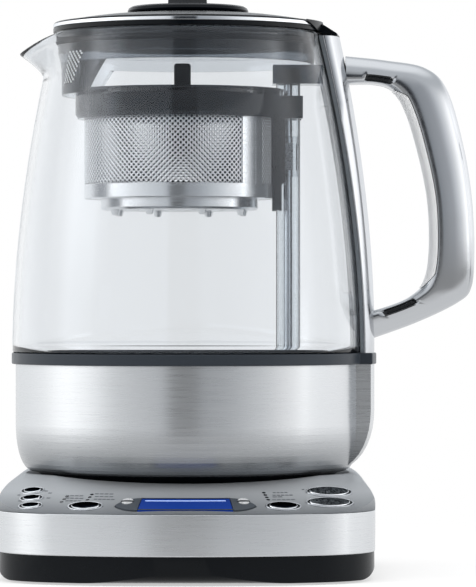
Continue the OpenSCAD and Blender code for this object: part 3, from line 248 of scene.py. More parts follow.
def eased(node, body, finish, width_mm, angle=32, segments=2):
    """A copy of a CAD node with its sharp edges rounded, standing for that node."""
    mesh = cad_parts[node].data.copy()
    mesh.name = node + "_eased"
    mesh.materials.clear()
    mesh.materials.append(finish)
    form = bmesh.new()
    form.from_mesh(mesh)
    bmesh.ops.remove_doubles(form, verts=form.verts, dist=0.000004)
    bmesh.ops.dissolve_degenerate(form, edges=form.edges, dist=0.000002)
    form.to_mesh(mesh)
    form.free()
    mesh.normals_split_custom_set_from_vertices([v.normal for v in mesh.vertices])
    if mesh.attributes.get("custom_normal"):
        mesh.attributes.remove(mesh.attributes["custom_normal"])
    mesh.polygons.foreach_set("use_smooth", [True] * len(mesh.polygons))
    mesh.set_sharp_from_angle(angle=radians(angle))
    piece = bpy.data.objects.new(node + "_dressed", mesh)
    bpy.context.scene.collection.objects.link(piece)
    if width_mm:
        bevel = piece.modifiers.new("eased_edges", "BEVEL")
        bevel.width = width_mm / 1000
        bevel.segments = segments
        bevel.limit_method = "ANGLE"
        bevel.angle_limit = radians(angle)
        bevel.harden_normals = True
        bevel.use_clamp_overlap = True
    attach(piece, body)
    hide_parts(node)
    return piece


def spun(profile, steps=160, sweep=360):
    """A bmesh, in millimetres about the Z axis, that a closed profile of radii and heights sweeps out."""
    form = bmesh.new()
    ring = [form.verts.new((r, 0, z)) for r, z in profile]
    for i in range(len(ring)):
        form.edges.new((ring[i], ring[i - 1]))
    if sweep < 360:
        form.faces.new(ring)
    bmesh.ops.spin(form, geom=form.verts[:] + form.edges[:] + form.faces[:], cent=(0, 0, 0), axis=(0, 0, 1),
                   angle=radians(sweep), steps=steps, use_merge=sweep == 360)
    return form


def piece_from(form, name, finish, body, nodes=(), at=(0, 0, 0), angle=32):
    """A piece from a bmesh that is drawn in millimetres, set down at a place and joined to a body."""
    bmesh.ops.remove_doubles(form, verts=form.verts, dist=0.004)
    bmesh.ops.recalc_face_normals(form, faces=form.faces)
    bmesh.ops.translate(form, vec=at, verts=form.verts)
    bmesh.ops.scale(form, vec=(0.001, 0.001, 0.001), verts=form.verts)
    mesh = bpy.data.meshes.new(name)
    form.to_mesh(mesh)
    form.free()
    mesh.polygons.foreach_set("use_smooth", [True] * len(mesh.polygons))
    mesh.set_sharp_from_angle(angle=radians(angle))
    mesh.materials.append(finish)
    piece = bpy.data.objects.new(name, mesh)
    bpy.context.scene.collection.objects.link(piece)
    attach(piece, body)
    if nodes:
        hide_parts(*nodes)
    return piece


black_abs = moulded_plastic("black_moulded_abs", "#04070b", 0.2)
rubber, tree, shader = new_finish("black_silicone_rubber", Base_Color=linear("#1c1e20"), IOR=1.41)
uneven(tree, shader, (1.2, 1.2, 1.2), 0.5, 0.65, 0.02, 0.3)
zinc, tree, shader = new_finish("zinc_plated_screws", Base_Color=linear("#b9bcc0"), Metallic=1.0)
uneven(tree, shader, (0.8, 0.8, 0.8), 0.28, 0.42, 0.01, 0.2)
eased("base_tray", "power_base", black_abs, 0.35)
dress("base_feet", rubber)
dress("base_screws", zinc)
dress("cord_inlet", rubber)

# ---- Upper shell and side band ----
# Both are pressed stainless steel, brushed from side to side. The band is one strip bent round the base, and the
# shell over it has the sloping panel for the controls and the dish that the jug stands in.


def brushed(name, colour, sizes_mm, tangent, low=0.25, high=0.34, grain=0.95, metallic=1.0):
    """Stainless steel with fine brushed lines. They stretch each highlight across them, along the tangent's axis."""
    made, tree, shader = new_finish(name, Metallic=metallic, Anisotropic=0.75)
    lines = uneven(tree, shader, sizes_mm, low, high, 0.008, 0.16)
    tone = add_node(tree, "MixRGB", {0: lines, 1: [c * grain for c in linear(colour)[:3]] + [1],
                                     2: linear(colour)})
    tree.links.new(tone.outputs[0], shader.inputs["Base Color"])
    across = add_node(tree, "CombineXYZ", {"XYZ".index(tangent): 1.0})
    tree.links.new(across.outputs[0], shader.inputs["Tangent"])
    return made


panel_steel = brushed("brushed_stainless_panel_painted_shade", "#b3b6b9", (18, 0.35, 0.35), "Y", 0.38, 0.48, metallic=0.7)
round_steel = brushed("brushed_stainless_round", "#d5d7d9", (22, 22, 0.35), "Z")


def shade(material, low_z, high_z, colour):
    """Paints shade into a metal's colour at a low height, and leaves it as it is from a higher one up."""
    tree = material.node_tree
    shader = tree.nodes["Principled BSDF"]
    height = add_node(tree, "SeparateXYZ", {0: add_node(tree, "TexCoord").outputs["Object"]})
    ramp = add_node(tree, "MapRange", {"Value": height.outputs["Z"], "From Min": low_z, "From Max": high_z})
    painted_shade = add_node(tree, "MixRGB", {0: ramp.outputs[0], 1: linear(colour), 2: linear("#ffffff")})
    toned = add_node(tree, "MixRGB", {0: 1.0, 1: shader.inputs["Base Color"].links[0].from_socket,
                                      2: painted_shade.outputs[0]}, blend_type="MULTIPLY")
    tree.links.new(toned.outputs[0], shader.inputs["Base Color"])


# Painted shade darkens the panel towards its front edge.
shade(panel_steel, 0.0305, 0.0385, "#a6a8aa")
eased("base_band", "power_base", round_steel, 0.5)
eased("base_top", "power_base", panel_steel, 0.4)

# ---- Display and its two pointed keys ----
# The display is a blue backlit liquid crystal under flush acrylic. A dark rocker key with a pointed end lies at each
# side of it.

display, tree, shader = new_finish("blue_backlit_acrylic", Base_Color=linear("#082260"), Roughness=0.08, IOR=1.49,
                                   Specular_IOR_Level=0.1, Emission_Strength=0.27)
height = add_node(tree, "SeparateXYZ", {0: add_node(tree, "TexCoord").outputs["Object"]})
glow = add_node(tree, "MapRange", {"Value": height.outputs["Z"], "From Min": 0.0325, "From Max": 0.037})
lcd = add_node(tree, "ValToRGB", {0: glow.outputs[0]})
steps = lcd.color_ramp.elements
steps[0].position, steps[0].color = 0.0, linear("#0048b8")
steps[1].position, steps[1].color = 1.0, linear("#0a3c98")
tree.links.new(lcd.outputs[0], shader.inputs["Emission Color"])
dress("display_glass", display)
key_plastic = moulded_plastic("dark_moulded_keys", "#3c4147", 0.3)
for node in ("temperature_key", "time_key"):
    eased(node, node, key_plastic, 0.35)
dress("display_module", black_abs)
# The panel slopes up from its front edge, which bows about a point near the back of the base.
slope = radians(20)
bow_radius, bow_centre, edge_height = 156.9, (-23.15, 64.9, 0), 30.5


def on_panel(turn, up, lift=0.0):
    """The place on the sloping panel at a turn in degrees, a distance up the slope and a height over it."""
    return (Matrix.Translation(bow_centre) @ Matrix.Rotation(radians(turn), 4, "Z")
            @ Matrix.Translation((0, -bow_radius + up * cos(slope), edge_height + up * sin(slope)))
            @ Matrix.Rotation(slope, 4, "X") @ Matrix.Translation((0, 0, lift)))


def add_strip(form, place, length, width, thick):
    """Adds a thin strip with rounded edges."""
    strip = bmesh.ops.create_cube(form, size=1, matrix=place @ Matrix.Diagonal((length, width, thick, 1)))["verts"]
    edges = {e for v in strip for e in v.link_edges}
    bmesh.ops.bevel(form, geom=list(edges), offset=min(width, thick) * 0.3, affect="EDGES", segments=1, profile=0.5,
                    material=-1)


def add_plate(form, place, wide, deep, flat):
    """Adds a thin plate with a pointed arch for its upper side and a flatter curve for its lower one."""
    disc = bmesh.ops.create_circle(form, segments=32, radius=1, cap_ends=True)
    face = disc["verts"][0].link_faces[0]
    for vert in disc["verts"]:
        x, y, z = vert.co
        vert.co = (x * wide / 2, (abs(y) ** 1.6 * deep if y > 0 else -abs(y) * flat), 0.35)
    raised = bmesh.ops.extrude_face_region(form, geom=[face])["geom"]
    top = [v for v in raised if isinstance(v, bmesh.types.BMVert)]
    bmesh.ops.translate(form, verts=top, vec=(0, 0, -0.3))
    bmesh.ops.transform(form, verts=disc["verts"] + top, matrix=place)


silver, tree, shader = new_finish("silver_metal_print", Base_Color=linear("#f2f3f4"), Metallic=0.6)
uneven(tree, shader, (0.5, 0.5, 0.5), 0.25, 0.35, 0.002, 0.1)
ink, tree, shader = new_finish("dark_screen_print", Base_Color=linear("#2a2d31"), IOR=1.49)
uneven(tree, shader, (0.5, 0.5, 0.5), 0.45, 0.55, 0.004, 0.2)
# Each key has an arrow up and an arrow down, with a thin dark lens between them.
for turn, node in ((-9.9, "temperature_key"), (9.9, "time_key")):
    arrows, lens = bmesh.new(), bmesh.new()
    for half in (1, -1):
        upright = Matrix.Rotation(0 if half > 0 else pi, 4, "Z")
        add_plate(arrows, on_panel(turn, 13.2 + half * 1.15, 0.5) @ upright, 4.6, 1.9, 0.3)
    add_plate(lens, on_panel(turn, 13.2, 0.5), 5.8, 0.9, 0.9)
    piece_from(arrows, node + "_arrows", silver, node)
    piece_from(lens, node + "_lens", ink, node)

# The display lies in a dark frame, and a painted highlight, a pale strip that glows a little, runs along the upper
# part of the liquid crystal.
trim, line = bmesh.new(), bmesh.new()
for i in range(-8, 9):
    turn = i * 0.92
    add_strip(trim, on_panel(turn, 4.95, 0.35), 2.7, 0.8, 0.24)
    add_strip(trim, on_panel(turn, 17.4, 0.35), 2.4, 0.6, 0.24)
    if abs(i) < 8:
        add_strip(line, on_panel(turn, 14.6, 0.35), 2.4, 0.7, 0.16)
piece_from(trim, "display_frame", ink, "power_base")
# The strip's glow is a painted highlight.
painted_highlight, tree, shader = new_finish("pale_strip_painted_highlight", Base_Color=linear("#9db4e8"), IOR=1.49,
                                      Emission_Color=linear("#a9bdf0"), Emission_Strength=0.35)
uneven(tree, shader, (1, 1, 1), 0.25, 0.35, 0.002, 0.1)
piece_from(line, "display_light_line", painted_highlight, "power_base")

# ---- Buttons, their rings and the indicator windows ----
# Seven oval buttons stand in chromed rings with a dark gap round them. Their tops are dark, and the two large ones
# are finely textured. Ten small dark windows lie beside them, next to plain printed lines.

chrome, tree, shader = new_finish("chromed_rings", Base_Color=linear("#e4e6e9"), Metallic=1.0)
uneven(tree, shader, (3, 3, 3), 0.08, 0.16, 0.004, 0.2)
dark_metal, tree, shader = new_finish("dark_plated_button_tops", Base_Color=linear("#34383d"), Metallic=1.0,
                                      Specular_Tint=(0.1, 0.11, 0.12, 1))
uneven(tree, shader, (1.5, 1.5, 1.5), 0.16, 0.26, 0.01, 0.2)
textured, tree, shader = new_finish("textured_button_tops", Metallic=1.0, Specular_Tint=(0.3, 0.31, 0.32, 1))
speckle = uneven(tree, shader, (0.7, 0.7, 0.7), 0.28, 0.5, 0.06, 0.6)
tones = add_node(tree, "ValToRGB", {0: speckle})
steps = tones.color_ramp.elements
steps[0].position, steps[0].color = 0.42, linear("#202326")
steps[1].position, steps[1].color = 0.6, linear("#84888c")
tree.links.new(tones.outputs[0], shader.inputs["Base Color"])
eased("button_rings", "power_base", chrome, 0.12)
small, medium, large = (10.2, 6.8), (14.5, 8.8), (21, 10.2)
for node, turn, up, oval in (
        ("tea_type_button", -16.8, 8.8, medium), ("strength_button", 16.4, 8.8, medium),
        ("hot_water_button", 25.2, 11.8, large), ("start_button", 27.4, 23.6, large),
        ("keep_warm_button", -26.6, 8, small), ("clock_button", -28.2, 16.3, small),
        ("auto_start_button", -30, 24.6, small)):
    # The cap is a domed disc, squashed to its oval. It is dark above the height where its chromed side ends.
    out, deep = oval[0] / 2 - 0.85, oval[1] / 2 - 0.5
    form = spun([(0.01, -1.2), (out, -1.2), (out, 0.2), (out - 0.15, 0.5), (out - 0.5, 0.68), (out * 0.6, 0.84),
                 (0.01, 0.9)], 72)
    bmesh.ops.transform(form, verts=form.verts,
                        matrix=on_panel(turn, up) @ Matrix.Diagonal((1, deep / out, 1, 1)))
    cap = piece_from(form, node + "_cap", textured if oval == large else dark_metal, node, [node])
    cap.data.materials.append(chrome)
    for face in cap.data.polygons:
        if (on_panel(turn, up).inverted() @ (face.center * 1000)).z < 0.6:
            face.material_index = 1
window, tree, shader = new_finish("smoked_indicator_lens", Base_Color=linear("#0c0e11"), IOR=1.49)
uneven(tree, shader, (1, 1, 1), 0.06, 0.14, 0.005, 0.2)
dress("indicator_windows", window)
# Each printed line is a row of short dashes from one turn to another.
marks = bmesh.new()
dash, gap = 1.5, 0.45
for start, end, up in ((-22.2, -18.6, 20), (-21.7, -18.2, 17.3), (-21.3, -18.2, 14.4), (-16.9, -13.2, 22.5),
                       (-16.5, -12.9, 19.5), (-16.3, -12.4, 16.5), (16.1, 19.1, 23.8), (15.7, 19.7, 20.9),
                       (15.5, 17.5, 19.1), (15.1, 19.4, 15.9), (-27.5, -26.6, 24.6), (-26.2, -25.3, 22.5),
                       (-25.4, -24.5, 17), (-32, -31.2, 19.4), (-30.2, -29.4, 12.9), (22.3, 23, 26.9)):
    length = radians(end - start) * (bow_radius - up * cos(slope))
    count = max(1, round(length / (dash + gap)))
    for i in range(count):
        turn = start + (end - start) * ((i + 0.5) / count)
        add_strip(marks, on_panel(turn, up, 0.1), length / count - gap, 0.75, 0.12)
printed, tree, shader = new_finish("grey_screen_print", Base_Color=linear("#5c6065"), IOR=1.49)
uneven(tree, shader, (0.5, 0.5, 0.5), 0.45, 0.55, 0.004, 0.2)
piece_from(marks, "panel_marks", printed, "power_base")

# ---- Connector and electronics inside the base ----
# The round connector lets the jug sit any way round: its brass contacts stand in black glass-filled nylon, which
# takes the heat. The circuit board lies under the panel.

brass, tree, shader = new_finish("plain_brass_contacts", Base_Color=linear("#cfae62"), Metallic=1.0)
uneven(tree, shader, (2, 2, 2), 0.18, 0.34, 0.01, 0.2)
board, tree, shader = new_finish("green_glass_fibre_board", Base_Color=linear("#24603a"), IOR=1.5)
uneven(tree, shader, (1.5, 1.5, 1.5), 0.3, 0.45, 0.03, 0.3)
nylon = moulded_plastic("black_glass_filled_nylon", "#131517", 0.34)
eased("power_connector", "power_base", nylon, 0.4)
dress("connector_contacts", brass)
dress("circuit_board", board)

# ---- Bowl, band and underside of the jug ----
# The bowl is deep-drawn stainless steel, brushed round and round on a lathe. A satin dark band joins it to the glass,
# and a black heat-proof moulding closes it below, with the cup that drops over the connector.

band_plastic = moulded_plastic("dark_satin_nylon_band", "#2b3036", 0.28)
# The bowl's steel is the band's, with painted shade that darkens it towards its foot.
bowl_steel = round_steel.copy()
bowl_steel.name = "brushed_stainless_bowl_painted_shade"
shade(bowl_steel, 0.0425, 0.066, "#808386")
dress("jug_bowl", bowl_steel)
eased("jug_band", "jug", band_plastic, 0.5)
eased("jug_underside", "jug", black_abs, 0.4)
dress("jug_socket", nylon)
dress("socket_contacts", brass)

# ---- Heating plate and what lies under it ----
# A pressed stainless plate closes the glass below. The sheathed element, the thermostat and the lifting motor are
# fixed to its underside.

pressed_steel, tree, shader = new_finish("pressed_stainless_plate", Base_Color=linear("#c4c6c9"), Metallic=1.0)
uneven(tree, shader, (30, 30, 30), 0.36, 0.42, 0.003, 0.1)
dress("heating_plate", pressed_steel)
dress("heating_element", pressed_steel)
dress("lift_motor", pressed_steel)
dress("thermostat", nylon)

# ---- Glass of the jug ----
# The jug is blown borosilicate glass with a spout that is pulled out while it is hot. Its rim and foot are
# fire-polished, so they are round.

glass, tree, shader = new_finish("clear_borosilicate_glass", Base_Color=linear("#f1f3f5"), Roughness=0.0, IOR=1.47,
                                 Transmission_Weight=1.0, Specular_Tint=(0.62, 0.65, 0.7, 1))
ripple = add_node(tree, "TexNoise", {"Vector": add_node(tree, "TexCoord").outputs["Object"], "Scale": 18.0})
wave = add_node(tree, "Bump", {"Height": ripple.outputs["Fac"], "Strength": 0.12, "Distance": 0.0006})
tree.links.new(wave.outputs[0], shader.inputs["Normal"])
jug_axis = Vector((-23.15, 8, 0))


def glass_radius(z):
    """The outer radius of the glass at a height."""
    return 78.9 - 18.4 * max(0, (z - 98.4) / 143.4) ** 1.85


wall, foot, rim = 2.6, 98.55, 241.75
outside = [(glass_radius(z), z) for z in [foot + 0.5 + (rim - 1.8 - foot) * i / 48 for i in range(49)]]
lip = glass_radius(rim) - wall / 2
rim_arc = [(lip + 1.3 * cos(radians(a)), rim - 1.3 + 1.3 * sin(radians(a))) for a in range(18, 180, 18)]
inside = [(r - wall, z) for r, z in reversed(outside)]
bottom = [(glass_radius(foot) - wall + 0.5, foot), (glass_radius(foot) - 0.5, foot)]
form = spun(outside + rim_arc + inside + bottom, 192)
# The spout pulls the wall outwards and down, above a height and within a turn to each side.
spout_z, spout_turn = 222, 34
for vert in form.verts:
    x, y, z = vert.co
    turn = abs(degrees(atan2(y, -x)))
    if z > spout_z and turn < spout_turn:
        pull = (0.5 + 0.5 * cos(pi * turn / spout_turn)) ** 1.3
        vert.co = (x - 16 * ((z - spout_z) / 19.8) ** 1.25 * pull, y,
                   spout_z + (z - spout_z) * (1 - 0.46 * pull ** 1.3))
piece_from(form, "jug_glass_blown", glass, "jug", ["jug_glass"], jug_axis, angle=60)

# ---- Handle ----
# The grip is cast metal with a satin finish, screwed to a metal pillar that stands against the glass on a dark
# backing. A light insert runs along the inside of the grip, and a black hood covers the pillar's head.

cast_metal, tree, shader = new_finish("satin_cast_metal", Base_Color=linear("#c6c8cb"), Metallic=1.0)
uneven(tree, shader, (9, 9, 9), 0.16, 0.22, 0.01, 0.12)
pale_insert = moulded_plastic("pale_satin_insert", "#f3f4f5", 0.3)
# The grip's outer and inner lines run from the upper arm round to the lower one. Their points are shares of the way
# from root to reach, outwards, and from the low arm to the high one, upwards. Those four are in millimetres.
root, reach, low_arm, high_arm = 70.9, 128.8, 104.4, 231.7
outer_line = [(0, 1), (0.307, 0.985), (0.618, 0.958), (0.789, 0.88), (0.914, 0.687), (0.983, 0.492), (1, 0.298),
              (0.976, 0.181), (0.867, 0.128), (0.541, 0.057), (0.1, -0.015)]
inner_line = [(0, 0.895), (0.206, 0.896), (0.339, 0.877), (0.439, 0.817), (0.541, 0.676), (0.625, 0.492),
              (0.637, 0.308), (0.594, 0.206), (0.494, 0.156), (0.345, 0.124), (0.08, 0.09)]


def along(line, t):
    """A point on a smooth curve through points, at a fraction t of its length, in the plane of the handle."""
    spans = len(line) - 1
    s = min(spans - 0.0001, t * spans)
    i, u = int(s), s - int(s)
    b, c = Vector(line[i]), Vector(line[i + 1])
    a = Vector(line[i - 1]) if i else 2 * b - c
    d = Vector(line[i + 2]) if i < spans - 1 else 2 * c - b
    p = 0.5 * (2 * b + (c - a) * u + (2 * a - 5 * b + 4 * c - d) * u * u + (3 * b - a - 3 * c + d) * u ** 3)
    return Vector((root + p.x * (reach - root), low_arm + p.y * (high_arm - low_arm)))


# The metal is 20.4 mm deep at 0.6 of its length, and takes up the same share of the way between the lines everywhere.
# A short scoop lies in each side of both arms, from one fraction of the length to another, with painted shade on its
# floor.
depth_share = 20.4 / (along(inner_line, 0.6) - along(outer_line, 0.6)).length
scoops = ((0.056, 0.172), (0.826, 0.944))


def section(t, turn, least=0.0):
    """A point on the handle's egg-shaped section, with the turn counted from the inner side. The section has a fine
    crease near its outer edge and the scoops in its sides. No point lies less deep below that edge than least."""
    outer = along(outer_line, t)
    inner = outer + (along(inner_line, t) - outer) * depth_share
    half = (inner - outer).length / 2
    # The inner side is squarer than the outer one.
    power = 0.45 if cos(turn) > 0 else 0.7
    u, v = abs(cos(turn)) ** power * (1 if cos(turn) > 0 else -1), abs(sin(turn)) ** power * (1 if turn > 0 else -1)
    place = outer + (inner - outer) * max(least, half + half * u) / (2 * half)
    # The crease is 0.4 mm deep, 2.1 mm in from the outer edge, and starts at 0.3 of the length.
    crease = 0.4 * max(0, 1 - abs(half * (1 + u) - 2.1) / 0.5) * min(1, max(0, (t - 0.3) / 0.1))
    # Half the width is 11.5 mm in the middle of the length. It is less at the ends and towards the outer edge.
    width = 11.5 * (0.86 + 0.14 * sin(pi * t)) * (1 - 0.35 * ((1 - u) / 2) ** 2)
    # A scoop is 1.3 mm deep, with a level floor and short slopes round it.
    for first, last in scoops:
        ends = max(0, min(1, (t - first) / 0.012, (last - t) / 0.012))
        width -= 1.3 * ends * max(0, min(1, 4 - abs(u - 0.56) / 0.05))
    return Vector((place.x, v * width - crease * (1 if v > 0 else -1), place.y))


def half_depth(t):
    """Half the depth of the handle's section."""
    return (along(inner_line, t) - along(outer_line, t)).length * depth_share / 2


def insert_turn(t):
    """Half the turn of the section that the insert takes up: little at its tapered ends."""
    full = acos(max(0.05, 1 - 3.7 / half_depth(t)) ** (1 / 0.45))
    part = max(0, min(1, (t - 0.2) / 0.07, (0.74 - t) / 0.07))
    return radians(28) + (full - radians(28)) * part


def lofted(rings):
    """A closed bmesh through rings of points."""
    form = bmesh.new()
    loops = []
    for ring in rings:
        verts = [form.verts.new(p) for p in ring]
        loops.append([form.edges.new((verts[i], verts[i - 1])) for i in range(len(verts))])
        if ring is rings[0] or ring is rings[-1]:
            form.faces.new(verts)
    for a, b in zip(loops, loops[1:]):
        bmesh.ops.bridge_loops(form, edges=a + b)
    return form


rings = []
for i in range(161):
    t = i / 160
    cut = pi - insert_turn(t)
    rings.append([section(t, (1 if k > 0 else -1) * (pi - abs(k) * cut / 44)) for k in range(-44, 45)])
form = lofted(rings)
grip = piece_from(form, "handle_grip_cast", cast_metal, "jug", ["handle_grip"], jug_axis, angle=40)
# The scoops' floors get a dark finish: painted shade.
scoop_shade, tree, shader = new_finish("scoop_floor_painted_shade", Base_Color=linear("#14171a"), IOR=1.5)
uneven(tree, shader, (2, 2, 2), 0.26, 0.34, 0.01, 0.2)
grip.data.materials.append(scoop_shade)
# The painted shade lies on the faces that are near the middle line of a scoop's floor.
middles = []
for first, last in scoops:
    for i in range(41):
        t = first + 0.016 + (last - first - 0.032) * i / 40
        outer, inner = along(outer_line, t), along(inner_line, t)
        middles.append(outer + (inner - outer) * depth_share * 0.78)
for face in grip.data.polygons:
    spot = face.center * 1000 - jug_axis
    if spot.x < 108 and 5 < abs(spot.y) < 10.2:
        apart = [(abs(middle.x - spot.x), abs(middle.y - spot.z)) for middle in middles]
        if any(max(x, z) < 1.6 and x ** 2 + z ** 2 < 2.6 for x, z in apart):
            face.material_index = 1
# The insert fills the inner side that the grip's section leaves open, and stands a little proud of it.
rings = []
for i in range(17, 60):
    t = i / 80
    turn = insert_turn(t)
    back = half_depth(t) * (1 + cos(turn) ** 0.45) + 0.35
    rings.append([section(t, turn * k / 8 or 0.0001, back) for k in range(-8, 9)])
piece_from(lofted(rings), "grip_insert", pale_insert, "jug", ["grip_liner"], jug_axis, angle=50)
eased("handle_pillar", "jug", cast_metal, 0, angle=45)
backing = moulded_plastic("grey_satin_backing", "#6f757b", 0.25)
eased("pillar_backing", "jug", backing, 0, angle=45)
eased("pillar_hood", "jug", black_abs, 0.4)
# The hood's thin wings lie against the lid's rim, one at each side. They deepen from thin tips towards the hood.
for side in (-1, 1):
    wing = spun([(60.9, 241.8), (61.5, 241.8), (61.5, 246), (61.2, 246.4), (60.9, 246.4)], 24, 20)
    for vert in wing.verts:
        share = min(1, 0.12 + degrees(atan2(vert.co.y, vert.co.x)) / 13)
        vert.co.z = 246.4 - (246.4 - vert.co.z) * share
    bmesh.ops.rotate(wing, verts=wing.verts, cent=(0, 0, 0), matrix=Matrix.Rotation(radians(-30), 3, "Z"))
    if side > 0:
        bmesh.ops.scale(wing, verts=wing.verts, vec=(1, -1, 1))
    name = "hood_wing_front" if side < 0 else "hood_wing_back"
    piece_from(wing, name, black_abs, "jug", at=jug_axis)
dress("handle_screws", zinc)

# ---- Column and its drive ----
# A clear moulded column stands on the heating plate and guides the basket. The screw inside it turns and carries the
# nut with its magnets up and down. The column's head is smoked, as the basket's collar and the lid's skirt are.

clear_plastic, tree, shader = new_finish("clear_copolyester_column", Base_Color=linear("#eef1f3"), Roughness=0.03,
                                         IOR=1.54, Transmission_Weight=1.0)
smoke, tree, shader = new_finish("smoked_copolyester", Base_Color=linear("#222d37"), IOR=1.54,
                                 Transmission_Weight=0.97)
uneven(tree, shader, (12, 12, 12), 0.02, 0.045, 0.002, 0.05)
plated, tree, shader = new_finish("nickel_plated_magnets", Base_Color=linear("#a8abb0"), Metallic=1.0)
uneven(tree, shader, (1, 1, 1), 0.2, 0.35, 0.01, 0.2)
dress("lift_column", clear_plastic)
dress("column_gland", rubber)
eased("column_head", "jug", smoke, 0.5)
dress("lead_screw", chrome)
dress("lift_carriage", clear_plastic)
dress("carriage_magnets", plated)

# ---- Basket ----
# The basket's wall is thin stainless steel with a fine staggered pattern of punched holes. It hangs in a smoked
# collar with two arms that reach round the column.

fine_steel, tree, shader = new_finish("bright_rolled_stainless", Base_Color=linear("#f6f7f8"), Metallic=0.75)
uneven(tree, shader, (10, 10, 0.5), 0.16, 0.26, 0.006, 0.2)
eased("basket_collar", "basket", smoke, 0.4)
eased("basket_arms", "basket", smoke, 0.4)
# The punched wall: one hole in a diamond of sheet, repeated round the basket and then upwards in staggered rows.
basket_axis = jug_axis + Vector((-3.8, 0, 0))
form = bmesh.new()
bmesh.ops.create_circle(form, segments=4, radius=1.185)
bmesh.ops.create_circle(form, segments=12, radius=0.57)
bmesh.ops.bridge_loops(form, edges=form.edges[:])
bmesh.ops.transform(form, verts=form.verts,
                    matrix=Matrix.Translation((0, -42.6, 174.6)) @ Matrix.Rotation(pi / 2, 4, "X"))
bmesh.ops.rotate(form, verts=form.verts, cent=(0, 0, 0), matrix=Matrix.Rotation(radians(59), 3, "Z"))
# There is room for 113 holes round it. The seam takes the place of a few.
pitch, copies, rows = 2 * pi / 113, 107, 25
bmesh.ops.spin(form, geom=form.verts[:] + form.edges[:] + form.faces[:], cent=(0, 0, 0), axis=(0, 0, 1),
               angle=copies * pitch, steps=copies, use_duplicate=True)
row = form.verts[:] + form.edges[:] + form.faces[:]
for i in range(1, rows):
    verts = [g for g in bmesh.ops.duplicate(form, geom=row)["geom"] if isinstance(g, bmesh.types.BMVert)]
    bmesh.ops.rotate(form, verts=verts, cent=(0, 0, 0), matrix=Matrix.Rotation(pitch / 2 * (i % 2), 3, "Z"))
    bmesh.ops.translate(form, verts=verts, vec=(0, 0, 1.18 * i))
bmesh.ops.remove_doubles(form, verts=form.verts, dist=0.05)
punched = piece_from(form, "basket_wall_punched", fine_steel, "basket", ["basket_wall"],
                     basket_axis)
sheet = punched.modifiers.new("sheet", "SOLIDIFY")
sheet.thickness = 0.0004
sheet.offset = 0
sheet.material_offset = 1
# The inner face of the sheet gets a dark copy of the steel: painted shade.
shaded_steel, tree, shader = new_finish("steel_inside_basket_painted_shade", Base_Color=linear("#1d2023"), Metallic=0.6)
uneven(tree, shader, (10, 10, 0.5), 0.3, 0.4, 0.006, 0.2)
punched.data.materials.append(shaded_steel)
# A plain band runs round the foot of the wall, and a seam with a raised edge runs up its side.
band = spun([(42.2, 167.35), (42.7, 167.35), (42.9, 167.6), (42.9, 173.5), (42.7, 173.75), (42.2, 173.75)], 144)
piece_from(band, "basket_plain_band", fine_steel, "basket", at=basket_axis)
for start, sweep, radius in ((41.3, 18, 42.85), (52.6, 6.4, 43.05)):
    strip = spun([(42.3, 173.4), (radius, 173.4), (radius, 203.6), (42.3, 203.6)], 8, sweep)
    bmesh.ops.rotate(strip, verts=strip.verts, cent=(0, 0, 0), matrix=Matrix.Rotation(radians(start - 90), 3, "Z"))
    piece_from(strip, "basket_seam_%d" % start, fine_steel, "basket", at=basket_axis)
eased("basket_floor", "basket", fine_steel, 0.15)
dress("basket_magnets", plated)
eased("basket_lid", "basket_cover", fine_steel, 0.15)
eased("basket_lid_knob", "basket_cover", black_abs, 0.5, segments=3)

# ---- Lid ----
# The lid is a black moulded dome with a bright steel rim pressed round it and a flat knob with a finger tab. Its
# smoked skirt hangs inside the glass, with a tongue and filter holes in front of the spout.

eased("lid_dome", "lid", black_abs, 0.4)
# The rim's uppermost 0.9 mm is black like the dome that it is pressed on.
rim_ring = eased("lid_rim", "lid", chrome, 0.2)
rim_ring.data.materials.append(black_abs)
top = max(v.co.z for v in rim_ring.data.vertices)
for face in rim_ring.data.polygons:
    if face.center.z > top - 0.0009:
        face.material_index = 1
eased("lid_knob", "lid", black_abs, 0.5, segments=3)
dress("lid_seal", rubber)
skirt_smoke, tree, shader = new_finish("smoked_skirt_with_paler_foot", Roughness=0.03, IOR=1.54,
                                       Transmission_Weight=0.97)
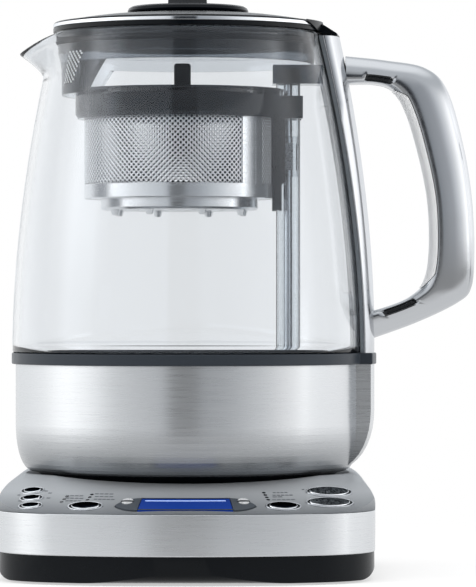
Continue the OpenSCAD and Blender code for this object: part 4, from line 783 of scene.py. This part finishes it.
# The skirt is paler in a zone above its foot.
height = add_node(tree, "SeparateXYZ", {0: add_node(tree, "TexCoord").outputs["Object"]})
zone = add_node(tree, "MapRange", {"Value": height.outputs["Z"], "From Min": 0.2277, "From Max": 0.2317})
depths = add_node(tree, "ValToRGB", {0: zone.outputs[0]})
depths.color_ramp.elements[0].color = depths.color_ramp.elements[1].color = linear("#222d37")
for place in (0.05, 0.75):
    depths.color_ramp.elements.new(place).color = linear("#8c939a")
# At the back the wall is clear below the seal, so that the basket's post can be seen.
at_back = add_node(tree, "MapRange", {"Value": height.outputs["Y"], "From Min": 0.004, "From Max": 0.008})
lower = add_node(tree, "MapRange", {"Value": height.outputs["Z"], "From Min": 0.2386, "From Max": 0.2384})
clear_part = add_node(tree, "Math", {0: at_back.outputs[0], 1: lower.outputs[0]}, operation="MULTIPLY")
wall_tone = add_node(tree, "MixRGB", {0: clear_part.outputs[0], 1: depths.outputs[0], 2: linear("#eef1f4")})
tree.links.new(wall_tone.outputs[0], shader.inputs["Base Color"])
eased("lid_skirt", "lid", skirt_smoke, 0.3)
# The filter: a slanting patch of pale gauze openings at each side of the tongue, in staggered rows on its surface.
openings = bmesh.new()
for row, column, side in [(r, c, s) for s in (-1, 1) for r in range(15) for c in range(4)]:
    turn = 26.2 - row * 0.65 + (column + (row % 2) / 2) * 3.1
    disc = bmesh.ops.create_circle(openings, segments=10, radius=0.44, cap_ends=True)["verts"]
    bmesh.ops.scale(openings, verts=disc, vec=(1, 1.9, 1))
    bmesh.ops.transform(openings, verts=disc, matrix=Matrix.Rotation(radians(180 + side * turn), 4, "Z")
                        @ Matrix.Translation((56.91, 0, 231.7 - row * 0.93)) @ Matrix.Rotation(pi / 2, 4, "Y"))
# The gauze glows a little: painted light.
gauze, tree, shader = new_finish("pale_filter_gauze_painted_glow", Base_Color=linear("#f4f6f8"), IOR=1.49,
                                 Emission_Color=linear("#ffffff"), Emission_Strength=0.25)
uneven(tree, shader, (0.4, 0.4, 0.4), 0.35, 0.45, 0.004, 0.2)
piece_from(openings, "filter_openings", gauze, "lid", at=jug_axis)

# ---- Size of the finished model ----
# The box round the visual model's pieces is measured, leaving out the floor and the hidden CAD nodes.

low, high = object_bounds()
